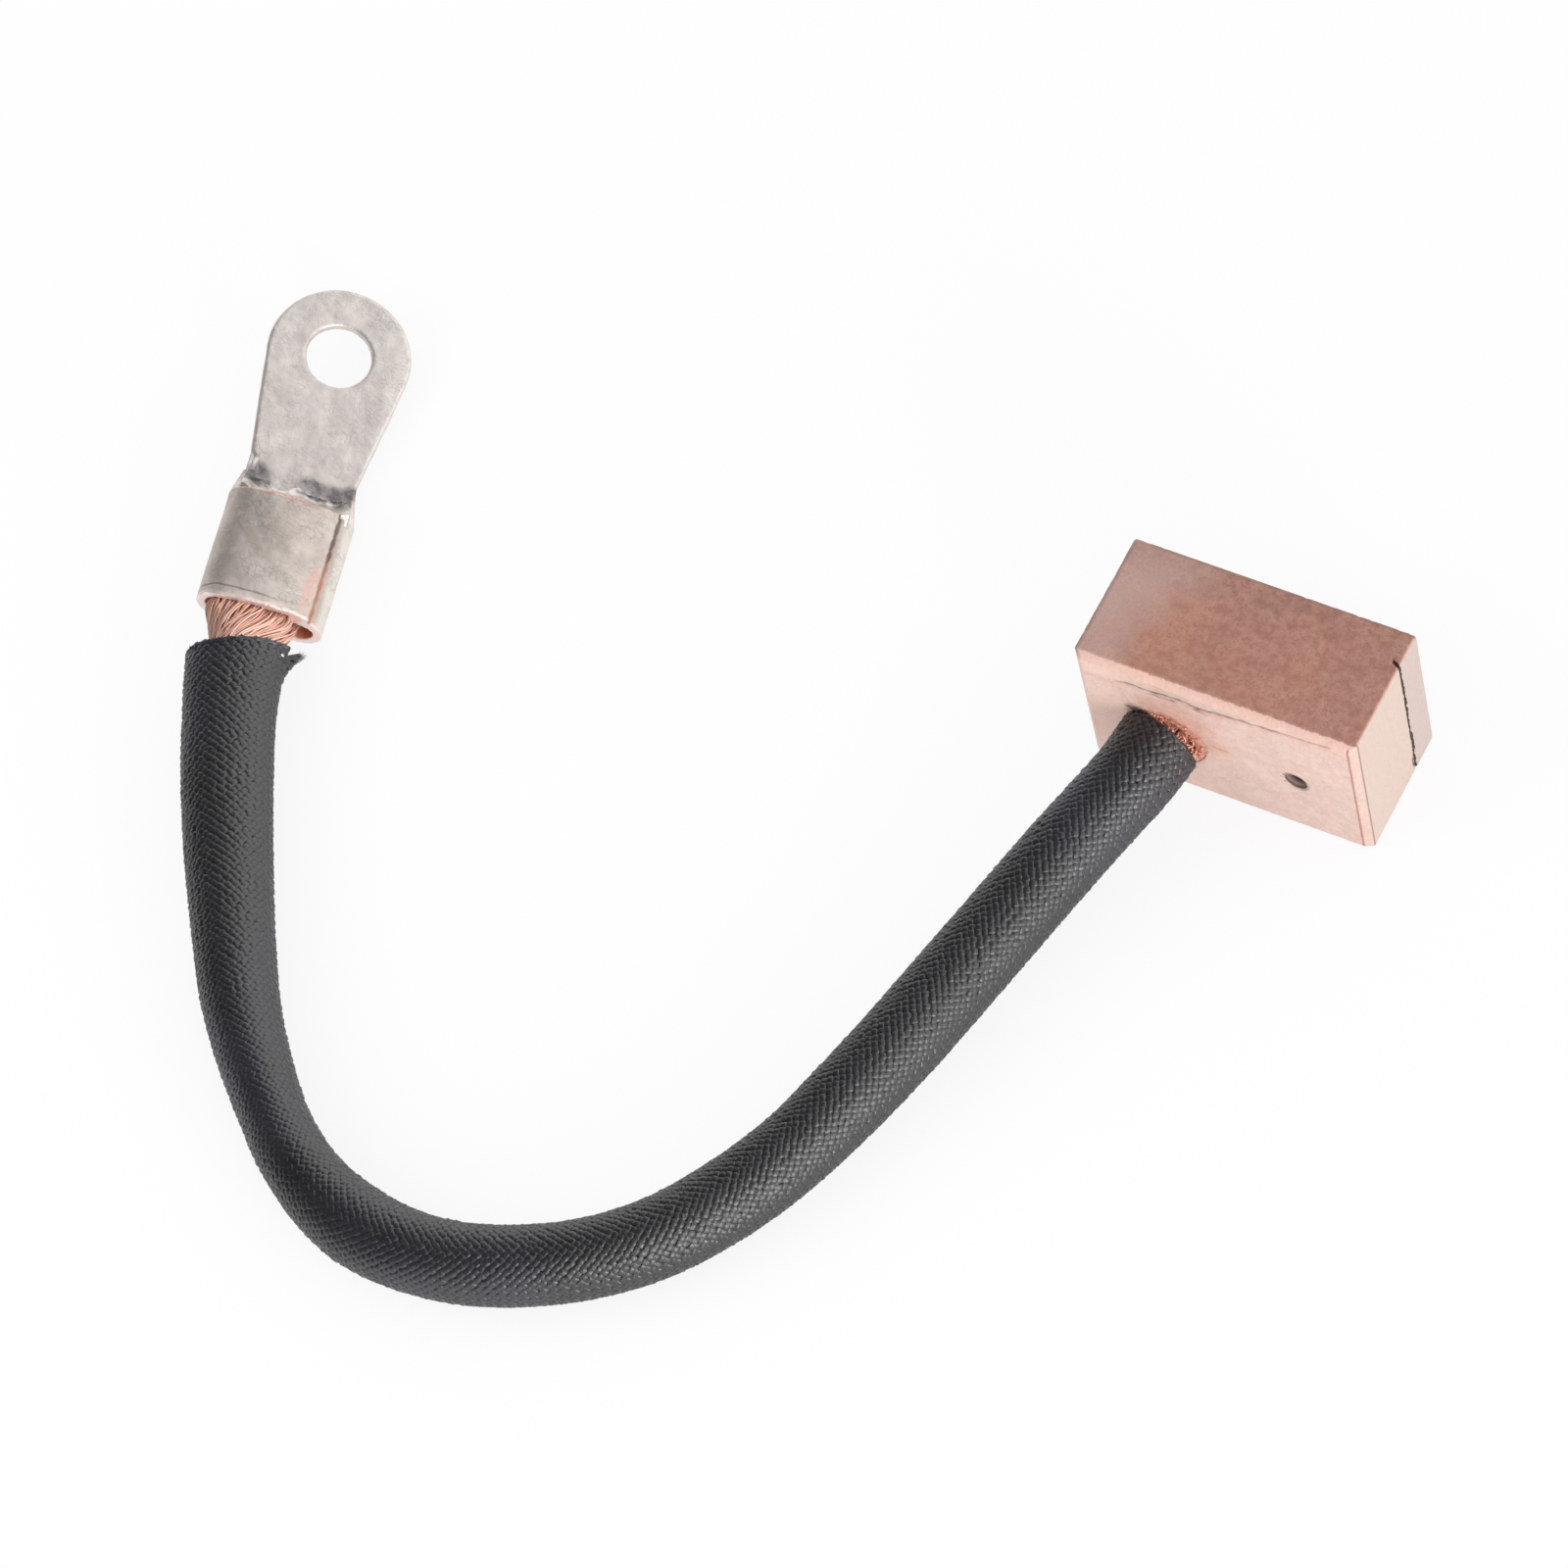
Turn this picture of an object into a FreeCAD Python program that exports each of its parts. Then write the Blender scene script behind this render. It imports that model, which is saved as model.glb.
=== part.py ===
import FreeCAD, Part
import math
import os

import Sketcher
from FreeCAD import Placement, Rotation, Vector

# Wiper brush contact on a flexible lead, in millimetres.
#
# A sintered copper-graphite block wipes on a moving contact with its +Y face. A stranded copper rope is
# tamped into a hole in its -Y face, runs through a braided sleeve, lies on the bench in a wide bend, and
# ends in the barrel of a ring terminal that is folded from one piece of tinned sheet.
#
# Frame: the origin is the middle of the block's base, +X runs along the block, +Y points out of the
# contact face and +Z is up. The block stands on its long narrow side, and the sleeve and the terminal lie
# on the same surface, z = 0.

# Driving dimensions: name, value, meaning. Lengths are in millimetres and angles in degrees.
SIZES = (
    ("block_length", 32.0, "block along X"),
    ("block_depth", 15.0, "block from the lead's face to the contact face, along Y"),
    ("block_height", 20.0, "block along Z"),
    ("block_edge_round", 0.35, "radius of the block's edges"),
    ("lead_face_chamfer", 0.8, "chamfer round the face that the lead leaves"),
    ("lead_inset", 9.6, "lead's hole from the block's left end"),
    ("lead_height", 9.4, "lead's hole above the block's base"),
    ("lead_hole_depth", 8.0, "depth of the lead's hole"),
    ("lead_run_out", 0.1, "straight lead outside its hole, before the first bend"),
    ("tamping_wall", 1.0, "tamped powder between the rope and the hole's wall"),
    ("tamping_recess", 0.25, "tamped powder below the block's face"),
    ("pin_hole_inset", 7.7, "small hole from the block's right end"),
    ("pin_hole_height", 9.4, "small hole above the block's base"),
    ("pin_hole_diameter", 2.6, "small hole"),
    ("pin_hole_depth", 4.0, "small hole, without its drill point"),
    ("drill_angle", 118.0, "drill point of the small hole"),
    ("wear_limit", 4.1, "wear line's distance from the contact face"),
    ("wear_line_width", 0.35, "width of the scribed wear line"),
    ("wear_line_cut", 0.3, "depth of the scribed wear line"),
    ("wear_line_run", 1.4, "length of the wear line on the top face"),
    ("rope_diameter", 7.0, "stranded rope"),
    ("sleeve_fit", 0.1, "gap between the rope and the sleeve, all round"),
    ("sleeve_wall", 0.9, "wall of the braided sleeve"),
    ("sleeve_mouth", 3.0, "open end of the sleeve, with the rope in it"),
    ("sleeve_gap_block", 2.0, "bare rope between the block and the sleeve"),
    ("sleeve_gap_barrel", 0.4, "rope that stays round past the sleeve, before it flattens"),
    ("flattening_length", 4.0, "bare rope that turns from round to flat, up to the barrel's mouth"),
    ("sheet", 1.0, "terminal's sheet"),
    ("barrel_length", 13.0, "barrel, along the terminal"),
    ("barrel_width", 14.0, "barrel over its bends"),
    ("barrel_height", 7.2, "barrel over its crown"),
    ("arch_radius", 20.0, "crown of the flap, at the middle of the sheet"),
    ("flap_reach", 5.0, "flap's cut edge, from the terminal's middle"),
    ("wing_reach", 2.9, "tucked wing's edge, from the terminal's middle"),
    ("lap_gap", 0.06, "gap between the flap and the wing under it"),
    ("shoulder_bend", 2.8, "bend of the shoulders beside the barrel, at the middle of the sheet"),
    ("shoulder_length", 5.8, "run from the barrel to the flat tongue"),
    ("neck_width", 12.0, "tongue where the shoulders end"),
    ("neck_flat", 9.0, "flat part of the shoulders' end, between the edges that run up"),
    ("ring_distance", 33.2, "terminal's hole from the barrel's mouth"),
    ("ring_radius", 7.9, "round head of the tongue"),
    ("ring_hole", 7.2, "terminal's hole"),
    ("ring_edge_chamfer", 0.2, "broken rim of the tongue's face"),
    ("flat_rope_width", 8.6, "rope in the barrel, across"),
    ("flat_rope_height", 5.0, "rope in the barrel, up"),
    ("flat_rope_shift", 0.9, "rope in the barrel, left of the terminal's middle"),
    ("flat_rope_lift", 0.1, "rope in the barrel, above the sheet"),
    ("rope_past_barrel", 0.5, "rope that stands out of the barrel's far end"),
    ("solder_width", 7.0, "solder, across"),
    ("solder_length", 4.6, "solder, along the terminal"),
    ("solder_height", 4.6, "solder against the rope's end"),
    ("solder_lip", 0.3, "solder's thickness where it runs out"),
    ("solder_slope_radius", 6.9, "hollow slope of the solder"),
    ("terminal_x", -106.2, "middle of the barrel's mouth, X"),
    ("terminal_y", -28.4, "middle of the barrel's mouth, Y"),
    ("terminal_yaw", 12.0, "terminal turned about +Z"),
    ("terminal_pitch", 5.2, "ring end raised"),
    ("terminal_roll", 21.0, "left side raised"),
)
size = {name: value for name, value, meaning in SIZES}

# Share of the shorter run that each arc of the lead's route takes at its corner.
ARC_SHARE = 0.45

# Two places this close together are one place, in millimetres.
SAME_PLACE = 1e-4

# How far a swept bar's volume may lie from its section times its length, as a share.
VOLUME_MARGIN = 0.002

# The lead's route over the bench, between the block's hole and the terminal: points chosen by hand.
ROUTE = (
    Vector(-14.4, -33.8, 6.4),
    Vector(-17.4, -50.6, 5.2),
    Vector(-22.4, -65.8, 4.52),
    Vector(-31.6, -80.9, 4.52),
    Vector(-48.6, -89.5, 4.52),
    Vector(-67.4, -86.8, 4.52),
    Vector(-82.0, -73.8, 4.52),
    Vector(-94.7, -54.8, 4.52),
)

# Numbers that a sketch gives its own origin, its two axes, and the ends and centre of its lines and arcs.
ORIGIN = (-1, 1)
H_AXIS = -1
V_AXIS = -2
START = 1
END = 2
CENTRE = 3

document = FreeCAD.newDocument("wiper_brush_contact")
sheet = document.addObject("Spreadsheet::Sheet", "sizes")
sheet.Label = "sizes"
for row, (name, value, meaning) in enumerate(SIZES, start=1):
    sheet.set(f"A{row}", meaning)
    sheet.set(f"B{row}", str(value))
    sheet.setAlias(f"B{row}", name)
document.recompute()


# Sketches and features

def add_body(label):
    body = document.addObject("PartDesign::Body", label)
    body.Label = label
    return body


def add_sketch(body, name, role, height=None):
    """A sketch on one of the body's own origin planes, moved along the plane's normal by an expression."""
    plane = next(feature for feature in body.Origin.OriginFeatures if feature.Role == role)
    sketch = body.newObject("Sketcher::SketchObject", name)
    sketch.AttachmentSupport = (plane, [""])
    sketch.MapMode = "FlatFace"
    if height is not None:
        sketch.setExpression(".AttachmentOffset.Base.z", height)
    return sketch


def bind(sketch, name, kind, items, value, expression):
    """One named dimension of a sketch, tied to the sheet. The value is only where the solver starts."""
    number = sketch.addConstraint(Sketcher.Constraint(kind, *items, value))
    sketch.renameConstraint(number, name)
    sketch.setExpression(f"Constraints.{name}", expression)


def place(sketch, name, point, across=None, up=None):
    """Ties a point of a sketch to its distances from the sketch's origin, which are given as plus values."""
    here = sketch.getPoint(*point)
    for kind, suffix, offset, expression in (
        ("DistanceX", "across", here.x, across),
        ("DistanceY", "up", here.y, up),
    ):
        if expression is not None:
            items = (*ORIGIN, *point) if offset > 0 else (*point, *ORIGIN)
            bind(sketch, f"{name}_{suffix}", kind, items, abs(offset), expression)


def join(sketch, first, second, smooth=False):
    sketch.addConstraint(Sketcher.Constraint("Tangent" if smooth else "Coincident", *first, *second))


def line(sketch, begin, end):
    return sketch.addGeometry(Part.LineSegment(Vector(*begin, 0), Vector(*end, 0)), False)


def arc(sketch, centre, radius, begin_degrees, end_degrees):
    """An arc that runs anticlockwise from its first angle to its second."""
    circle = Part.Circle(Vector(*centre, 0), Vector(0, 0, 1), radius)
    return sketch.addGeometry(
        Part.ArcOfCircle(circle, math.radians(begin_degrees), math.radians(end_degrees)), False
    )


def chain(sketch, geometry):
    """Closes lines that follow each other into one outline."""
    for first, second in zip(geometry, geometry[1:] + geometry[:1]):
        join(sketch, (first, END), (second, START))


def rectangle(sketch, left, right, low, high, expressions):
    """A rectangle by the places of two opposite corners: four expressions for left, right, low and high."""
    sides = [
        line(sketch, (left, low), (right, low)),
        line(sketch, (right, low), (right, high)),
        line(sketch, (right, high), (left, high)),
        line(sketch, (left, high), (left, low)),
    ]
    chain(sketch, sides)
    for side, kind in zip(sides, ("Horizontal", "Vertical", "Horizontal", "Vertical")):
        sketch.addConstraint(Sketcher.Constraint(kind, side))
    for name, point, way, expression in zip(
        ("left", "right", "low", "high"),
        ((sides[0], START), (sides[1], START), (sides[0], START), (sides[2], START)),
        ("across", "across", "up", "up"),
        expressions,
    ):
        if expression is None:
            axis = V_AXIS if way == "across" else H_AXIS
            sketch.addConstraint(Sketcher.Constraint("PointOnObject", *point, axis))
        else:
            place(sketch, name, point, **{way: expression})


def add_feature(body, kind, name, sketch, **values):
    """A feature of a body. Text values are expressions, and the rest are set as they are."""
    feature = body.newObject(f"PartDesign::{kind}", name)
    if sketch is not None:
        feature.Profile = sketch
        document.recompute()
    for key, value in values.items():
        if isinstance(value, str):
            feature.setExpression(key, value)
        else:
            setattr(feature, key, value)
    document.recompute()
    return feature


def edges_where(shape, test):
    return [f"Edge{number}" for number, edge in enumerate(shape.Edges, start=1) if test(edge)]


def lies_at(edge, axis, value):
    """Whether an edge lies in the plane where the given coordinate has the given value."""
    return all(abs(getattr(vertex.Point, axis) - value) < SAME_PLACE for vertex in edge.Vertexes)


# Block

def make_block():
    """Pressed block with a tamping hole and a small blind hole in its lead face, and a scribed wear line."""
    length = size["block_length"]
    depth = size["block_depth"]
    height = size["block_height"]
    body = add_body("brush_block")

    outline = add_sketch(body, "block_outline", "XY_Plane")
    half_length = "sizes.block_length / 2"
    half_depth = "sizes.block_depth / 2"
    rectangle(outline, -length / 2, length / 2, -depth / 2, depth / 2,
              (half_length, half_length, half_depth, half_depth))
    pressing = add_feature(body, "Pad", "block_pressing", outline, Length="sizes.block_height")

    rim = edges_where(pressing.Shape, lambda edge: lies_at(edge, "y", -depth / 2))
    chamfer = add_feature(body, "Chamfer", "lead_face_chamfer", None,
                          Base=(pressing, rim), Size="sizes.lead_face_chamfer")

    rounded = edges_where(chamfer.Shape, lambda edge: max(vertex.Point.y for vertex in edge.Vertexes) > 0)
    add_feature(body, "Fillet", "block_rounding", None,
                Base=(chamfer, rounded), Radius="sizes.block_edge_round")

    # A sketch on the XZ plane faces -Y, so this height puts it on the lead face and a pocket cuts
    # towards +Y.
    drilled = add_sketch(body, "lead_hole_place", "XZ_Plane", half_depth)
    middle = Vector(size["lead_inset"] - length / 2, size["lead_height"], 0)
    circle = Part.Circle(middle, Vector(0, 0, 1), size["rope_diameter"] / 2 + size["tamping_wall"])
    hole = drilled.addGeometry(circle, False)
    place(drilled, "hole", (hole, CENTRE), f"{half_length} - sizes.lead_inset", "sizes.lead_height")
    bind(drilled, "bore", "Diameter", (hole,), 2 * circle.Radius,
         "sizes.rope_diameter + 2 * sizes.tamping_wall")
    add_feature(body, "Pocket", "lead_hole", drilled, Length="sizes.lead_hole_depth")

    pinned = add_sketch(body, "pin_hole_place", "XZ_Plane", half_depth)
    middle = Vector(length / 2 - size["pin_hole_inset"], size["pin_hole_height"], 0)
    circle = Part.Circle(middle, Vector(0, 0, 1), size["pin_hole_diameter"] / 2)
    hole = pinned.addGeometry(circle, False)
    place(pinned, "hole", (hole, CENTRE), f"{half_length} - sizes.pin_hole_inset", "sizes.pin_hole_height")
    bind(pinned, "bore", "Diameter", (hole,), 2 * circle.Radius, "sizes.pin_hole_diameter")
    document.recompute()
    add_feature(body, "Hole", "pin_hole", pinned, DepthType=0, DrillPoint=1,
                Diameter="sizes.pin_hole_diameter", Depth="sizes.pin_hole_depth",
                DrillPointAngle="sizes.drill_angle")

    near = depth / 2 - size["wear_limit"] - size["wear_line_width"] / 2
    near_text = f"{half_depth} - sizes.wear_limit - sizes.wear_line_width / 2"
    far_text = f"{half_depth} - sizes.wear_limit + sizes.wear_line_width / 2"
    on_end = add_sketch(body, "wear_line_on_end", "YZ_Plane", half_length)
    rectangle(on_end, near, near + size["wear_line_width"], 0, height,
              (near_text, far_text, None, "sizes.block_height"))
    add_feature(body, "Pocket", "wear_line_end", on_end, Length="sizes.wear_line_cut")

    on_top = add_sketch(body, "wear_line_on_top", "XY_Plane", "sizes.block_height")
    rectangle(on_top, length / 2 - size["wear_line_run"], length / 2, near, near + size["wear_line_width"],
              (f"{half_length} - sizes.wear_line_run", half_length, near_text, far_text))
    add_feature(body, "Pocket", "wear_line_top", on_top, Length="sizes.wear_line_cut")
    return body


def make_tamping_plug():
    """Copper powder tamped round the rope: a ring that fills the block's hole."""
    rings = []
    for name, radius in (
        ("tamping_outside", "sizes.rope_diameter / 2 + sizes.tamping_wall"),
        ("tamping_inside", "sizes.rope_diameter / 2"),
    ):
        ring = document.addObject("Part::Cylinder", name)
        ring.setExpression("Radius", radius)
        ring.setExpression("Height", "sizes.lead_hole_depth - sizes.tamping_recess")
        ring.Placement = Placement(Vector(), Rotation(Vector(1, 0, 0), 90))
        ring.setExpression(".Placement.Base.x", "sizes.lead_inset - sizes.block_length / 2")
        ring.setExpression(".Placement.Base.y", "sizes.lead_hole_depth - sizes.block_depth / 2")
        ring.setExpression(".Placement.Base.z", "sizes.lead_height")
        rings.append(ring)
    plug = document.addObject("Part::Cut", "tamping_plug")
    plug.Label = "tamping_plug"
    plug.Base, plug.Tool = rings
    return plug


# Terminal, in its own frame: the origin is the middle of the barrel's mouth under the sheet, +Y runs to
# the ring and +Z stands on the tongue's face.

def bend_radius(crown, arch):
    """Radius, at the middle of the sheet, of the bend that touches base, barrel side and arch."""
    side = (size["barrel_width"] - size["sheet"]) / 2
    rise = size["sheet"] / 2 - crown + arch
    linear = rise - side + arch
    return math.sqrt(linear ** 2 - (side ** 2 + rise ** 2 - arch ** 2)) - linear


def make_fold(body, name, way, lap, reach):
    """One side of the barrel's section at the middle of the sheet: base, bend, and arch up to the cut edge.

    way is -1 for the left side, whose flap lies outside, and 1 for the right side, whose wing is tucked
    under it.
    """
    half = size["sheet"] / 2
    inset = (size["sheet"] + size["lap_gap"]) if lap else 0.0
    inset_text = " - sizes.sheet - sizes.lap_gap" if lap else ""
    crown = size["barrel_height"] - half - inset
    arch = size["arch_radius"] - inset
    bend = bend_radius(crown, arch)
    side = (size["barrel_width"] - size["sheet"]) / 2
    foot = way * (side - bend)
    arch_z = crown - arch
    touch = math.degrees(math.atan2(half + bend - arch_z, foot))
    edge = math.degrees(math.acos(size[reach] / arch))

    sketch = add_sketch(body, name, "XZ_Plane")
    base = line(sketch, (0, half), (foot, half))
    if way < 0:
        corner = arc(sketch, (foot, half + bend), bend, touch, 270)
        crest = arc(sketch, (0, arch_z), arch, edge, touch)
        corner_ends = (END, START)
        crest_ends = (END, START)
    else:
        corner = arc(sketch, (foot, half + bend), bend, -90, touch)
        crest = arc(sketch, (0, arch_z), arch, touch, edge)
        corner_ends = (START, END)
        crest_ends = (START, END)
    wall_height = size["barrel_height"] / 2
    wall = line(sketch, (way * side, half), (way * side, half + wall_height))
    sketch.setConstruction(wall, True)

    sketch.addConstraint(Sketcher.Constraint("Horizontal", base))
    sketch.addConstraint(Sketcher.Constraint("PointOnObject", base, START, V_AXIS))
    place(sketch, "base", (base, START), up="sizes.sheet / 2")
    join(sketch, (base, END), (corner, corner_ends[0]), smooth=True)
    join(sketch, (corner, corner_ends[1]), (crest, crest_ends[0]), smooth=True)
    sketch.addConstraint(Sketcher.Constraint("PointOnObject", crest, CENTRE, V_AXIS))
    place(sketch, "arch", (crest, CENTRE),
          up=f"sizes.arch_radius + sizes.sheet / 2 - sizes.barrel_height")
    bind(sketch, "arch_radius", "Radius", (crest,), arch, f"sizes.arch_radius{inset_text}")
    place(sketch, "cut_edge", (crest, crest_ends[1]), across=f"sizes.{reach}")
    sketch.addConstraint(Sketcher.Constraint("Vertical", wall))
    place(sketch, "wall", (wall, START), "(sizes.barrel_width - sizes.sheet) / 2", "sizes.sheet / 2")
    bind(sketch, "wall_height", "Distance", (wall,), wall_height, "sizes.barrel_height / 2")
    sketch.addConstraint(Sketcher.Constraint("Tangent", wall, corner))
    return sketch


def make_shoulder_section(body):
    """The folded sheet where it leaves the barrel: base and two quarter bends."""
    thick = size["sheet"]
    outer = size["shoulder_bend"] + thick / 2
    inner = size["shoulder_bend"] - thick / 2
    foot = size["barrel_width"] / 2 - outer
    sketch = add_sketch(body, "shoulder_at_barrel", "XZ_Plane", "-sizes.barrel_length")
    below = line(sketch, (-foot, 0), (foot, 0))
    right_out = arc(sketch, (foot, outer), outer, -90, 0)
    right_end = line(sketch, (foot + outer, outer), (foot + inner, outer))
    right_in = arc(sketch, (foot, outer), inner, -90, 0)
    above = line(sketch, (foot, thick), (-foot, thick))
    left_in = arc(sketch, (-foot, outer), inner, 180, 270)
    left_end = line(sketch, (-foot - inner, outer), (-foot - outer, outer))
    left_out = arc(sketch, (-foot, outer), outer, 180, 270)
    join(sketch, (below, END), (right_out, START), smooth=True)
    join(sketch, (right_out, END), (right_end, START))
    join(sketch, (right_end, END), (right_in, END))
    join(sketch, (right_in, START), (above, START), smooth=True)
    join(sketch, (above, END), (left_in, END), smooth=True)
    join(sketch, (left_in, START), (left_end, START))
    join(sketch, (left_end, END), (left_out, START))
    join(sketch, (left_out, END), (below, START), smooth=True)
    join(sketch, (right_in, CENTRE), (right_out, CENTRE))
    join(sketch, (left_in, CENTRE), (left_out, CENTRE))
    sketch.addConstraint(Sketcher.Constraint("Horizontal", below))
    sketch.addConstraint(Sketcher.Constraint("Horizontal", right_end))
    sketch.addConstraint(Sketcher.Constraint("Horizontal", left_end))
    sketch.addConstraint(Sketcher.Constraint("Horizontal", right_end, START, right_out, CENTRE))
    sketch.addConstraint(Sketcher.Constraint("PointOnObject", below, START, H_AXIS))
    bind(sketch, "outer", "Radius", (right_out,), outer, "sizes.shoulder_bend + sizes.sheet / 2")
    bind(sketch, "inner", "Radius", (right_in,), inner, "sizes.shoulder_bend - sizes.sheet / 2")
    sketch.addConstraint(Sketcher.Constraint("Equal", right_out, left_out))
    place(sketch, "right", (right_end, START), across="sizes.barrel_width / 2")
    place(sketch, "left", (left_end, END), across="sizes.barrel_width / 2")
    return sketch


def make_neck_section(body):
    """The flat sheet where the tongue starts, split like the section at the barrel for an even loft."""
    thick = size["sheet"]
    half = size["neck_width"] / 2
    split = size["neck_flat"] / 2
    sketch = add_sketch(body, "shoulder_at_neck", "XZ_Plane",
                        "-sizes.barrel_length - sizes.shoulder_length")
    corners = ((-split, 0), (split, 0), (half, 0), (half, thick), (split, thick), (-split, thick),
               (-half, thick), (-half, 0))
    sides = [line(sketch, begin, end) for begin, end in zip(corners, corners[1:] + corners[:1])]
    chain(sketch, sides)
    for number, (across, up) in enumerate(corners):
        width_text = "sizes.neck_flat / 2" if abs(across) == split else "sizes.neck_width / 2"
        place(sketch, f"corner_{number}", (sides[number], START),
              across=width_text, up="sizes.sheet" if up else None)
        if not up:
            sketch.addConstraint(Sketcher.Constraint("PointOnObject", sides[number], START, H_AXIS))
    return sketch


def make_tongue_outline(body):
    """Neck, two tapered edges that touch the round head, and the punched hole."""
    half = size["neck_width"] / 2
    neck = size["barrel_length"] + size["shoulder_length"]
    ring = size["ring_distance"]
    radius = size["ring_radius"]
    reach = math.hypot(half, ring - neck)
    touch = math.atan2(neck - ring, half) + math.acos(radius / reach)
    touch_x = radius * math.cos(touch)
    touch_y = ring + radius * math.sin(touch)
    sketch = add_sketch(body, "tongue_outline", "XY_Plane")
    neck_line = line(sketch, (-half, neck), (half, neck))
    right = line(sketch, (half, neck), (touch_x, touch_y))
    head = arc(sketch, (0, ring), radius, math.degrees(touch), 180 - math.degrees(touch))
    left = line(sketch, (-touch_x, touch_y), (-half, neck))
    hole = sketch.addGeometry(Part.Circle(Vector(0, ring, 0), Vector(0, 0, 1), size["ring_hole"] / 2), False)
    join(sketch, (neck_line, END), (right, START))
    join(sketch, (right, END), (head, START), smooth=True)
    join(sketch, (head, END), (left, START), smooth=True)
    join(sketch, (left, END), (neck_line, START))
    neck_text = "sizes.barrel_length + sizes.shoulder_length"
    place(sketch, "neck_left", (neck_line, START), "sizes.neck_width / 2", neck_text)
    place(sketch, "neck_right", (neck_line, END), "sizes.neck_width / 2", neck_text)
    sketch.addConstraint(Sketcher.Constraint("PointOnObject", head, CENTRE, V_AXIS))
    place(sketch, "ring", (head, CENTRE), up="sizes.ring_distance")
    bind(sketch, "ring_radius", "Radius", (head,), radius, "sizes.ring_radius")
    join(sketch, (hole, CENTRE), (head, CENTRE))
    bind(sketch, "ring_hole", "Diameter", (hole,), size["ring_hole"], "sizes.ring_hole")
    return sketch


def make_terminal():
    """Ring terminal folded from one sheet: tongue, shoulders, and a barrel whose flap laps over its wing."""
    body = add_body("ring_terminal")
    thick = size["sheet"]

    for name, way, lap, reach in (
        ("flap", -1, False, "flap_reach"),
        ("wing", 1, True, "wing_reach"),
    ):
        wall = add_sketch(body, f"{name}_wall", "YZ_Plane")
        rectangle(wall, 0, size["barrel_length"], 0, thick,
                  (None, "sizes.barrel_length", None, "sizes.sheet"))
        spine = make_fold(body, f"{name}_fold", way, lap, reach)
        add_feature(body, "AdditivePipe", f"{name}_bending", wall, Spine=(spine, []))

    at_barrel = make_shoulder_section(body)
    at_neck = make_neck_section(body)
    add_feature(body, "AdditiveLoft", "shoulders", at_barrel, Sections=[at_neck], Ruled=True)

    outline = make_tongue_outline(body)
    tongue = add_feature(body, "Pad", "tongue", outline, Length="sizes.sheet")
    neck = size["barrel_length"] + size["shoulder_length"]
    rim = edges_where(tongue.Shape, lambda edge: lies_at(edge, "z", thick)
                      and min(vertex.Point.y for vertex in edge.Vertexes) > neck - SAME_PLACE
                      and max(vertex.Point.y for vertex in edge.Vertexes) > neck + SAME_PLACE)
    add_feature(body, "Chamfer", "tongue_rim", None, Base=(tongue, rim), Size="sizes.ring_edge_chamfer")
    return body


def make_solder():
    """Solder that fills the step between the rope's end and the tongue, with a hollow slope."""
    body = add_body("solder_fillet")
    near = size["barrel_length"] + size["rope_past_barrel"]
    far = near + size["solder_length"]
    low = size["sheet"]
    top = low + size["solder_height"]
    lip = low + size["solder_lip"]
    near_text = "sizes.barrel_length + sizes.rope_past_barrel"
    far_text = f"{near_text} + sizes.solder_length"
    slope_radius = size["solder_slope_radius"]
    sketch = add_sketch(body, "solder_section", "YZ_Plane")
    middle = Vector((near + far) / 2, (top + lip) / 2, 0)
    chord = Vector(far - near, lip - top, 0)
    outward = Vector(-chord.y, chord.x, 0).normalize()
    centre = middle + outward * math.sqrt(slope_radius ** 2 - (chord.Length / 2) ** 2)
    begin = math.degrees(math.atan2(top - centre.y, near - centre.x)) % 360
    end = math.degrees(math.atan2(lip - centre.y, far - centre.x)) % 360
    base = line(sketch, (near, low), (far, low))
    front = line(sketch, (far, low), (far, lip))
    slope = arc(sketch, (centre.x, centre.y), slope_radius, begin, end)
    back = line(sketch, (near, top), (near, low))
    join(sketch, (base, END), (front, START))
    join(sketch, (front, END), (slope, END))
    join(sketch, (slope, START), (back, START))
    join(sketch, (back, END), (base, START))
    place(sketch, "near", (base, START), near_text, "sizes.sheet")
    place(sketch, "far", (base, END), far_text, "sizes.sheet")
    place(sketch, "lip", (front, END), far_text, "sizes.sheet + sizes.solder_lip")
    place(sketch, "top", (back, START), near_text, "sizes.sheet + sizes.solder_height")
    bind(sketch, "slope", "Radius", (slope,), slope_radius, "sizes.solder_slope_radius")
    add_feature(body, "Pad", "solder_run", sketch, Length="sizes.solder_width", Midplane=True)
    return body


# Lead

def rounded_route(points):
    """Edges of straight runs joined by tangent arcs. Prints each arc's radius."""
    edges = []
    start = points[0]
    for before, corner, after in zip(points, points[1:], points[2:]):
        back = before - corner
        ahead = after - corner
        tangent = ARC_SHARE * min(back.Length, ahead.Length)
        back.normalize()
        ahead.normalize()
        half_turn = (math.pi - back.getAngle(ahead)) / 2
        radius = tangent / math.tan(half_turn)
        inward = (back + ahead).normalize()
        first = corner + back * tangent
        last = corner + ahead * tangent
        crest = corner + inward * (radius / math.cos(half_turn) - radius)
        edges.append(Part.LineSegment(start, first).toShape())
        edges.append(Part.Arc(first, crest, last).toShape())
        print(f"lead: turn {2 * math.degrees(half_turn):.1f} degrees, radius {radius:.1f} mm")
        start = last
    edges.append(Part.LineSegment(start, points[-1]).toShape())
    return edges


def stretch(edges, begin, end):
    """The part of the route between two distances along it."""
    kept = []
    walked = 0.0
    for edge in edges:
        low = max(begin - walked, 0.0)
        high = min(end - walked, edge.Length)
        if high - low > SAME_PLACE:
            kept.append(edge.Curve.toShape(edge.getParameterByLength(low), edge.getParameterByLength(high)))
        walked += edge.Length
    return kept


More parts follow.
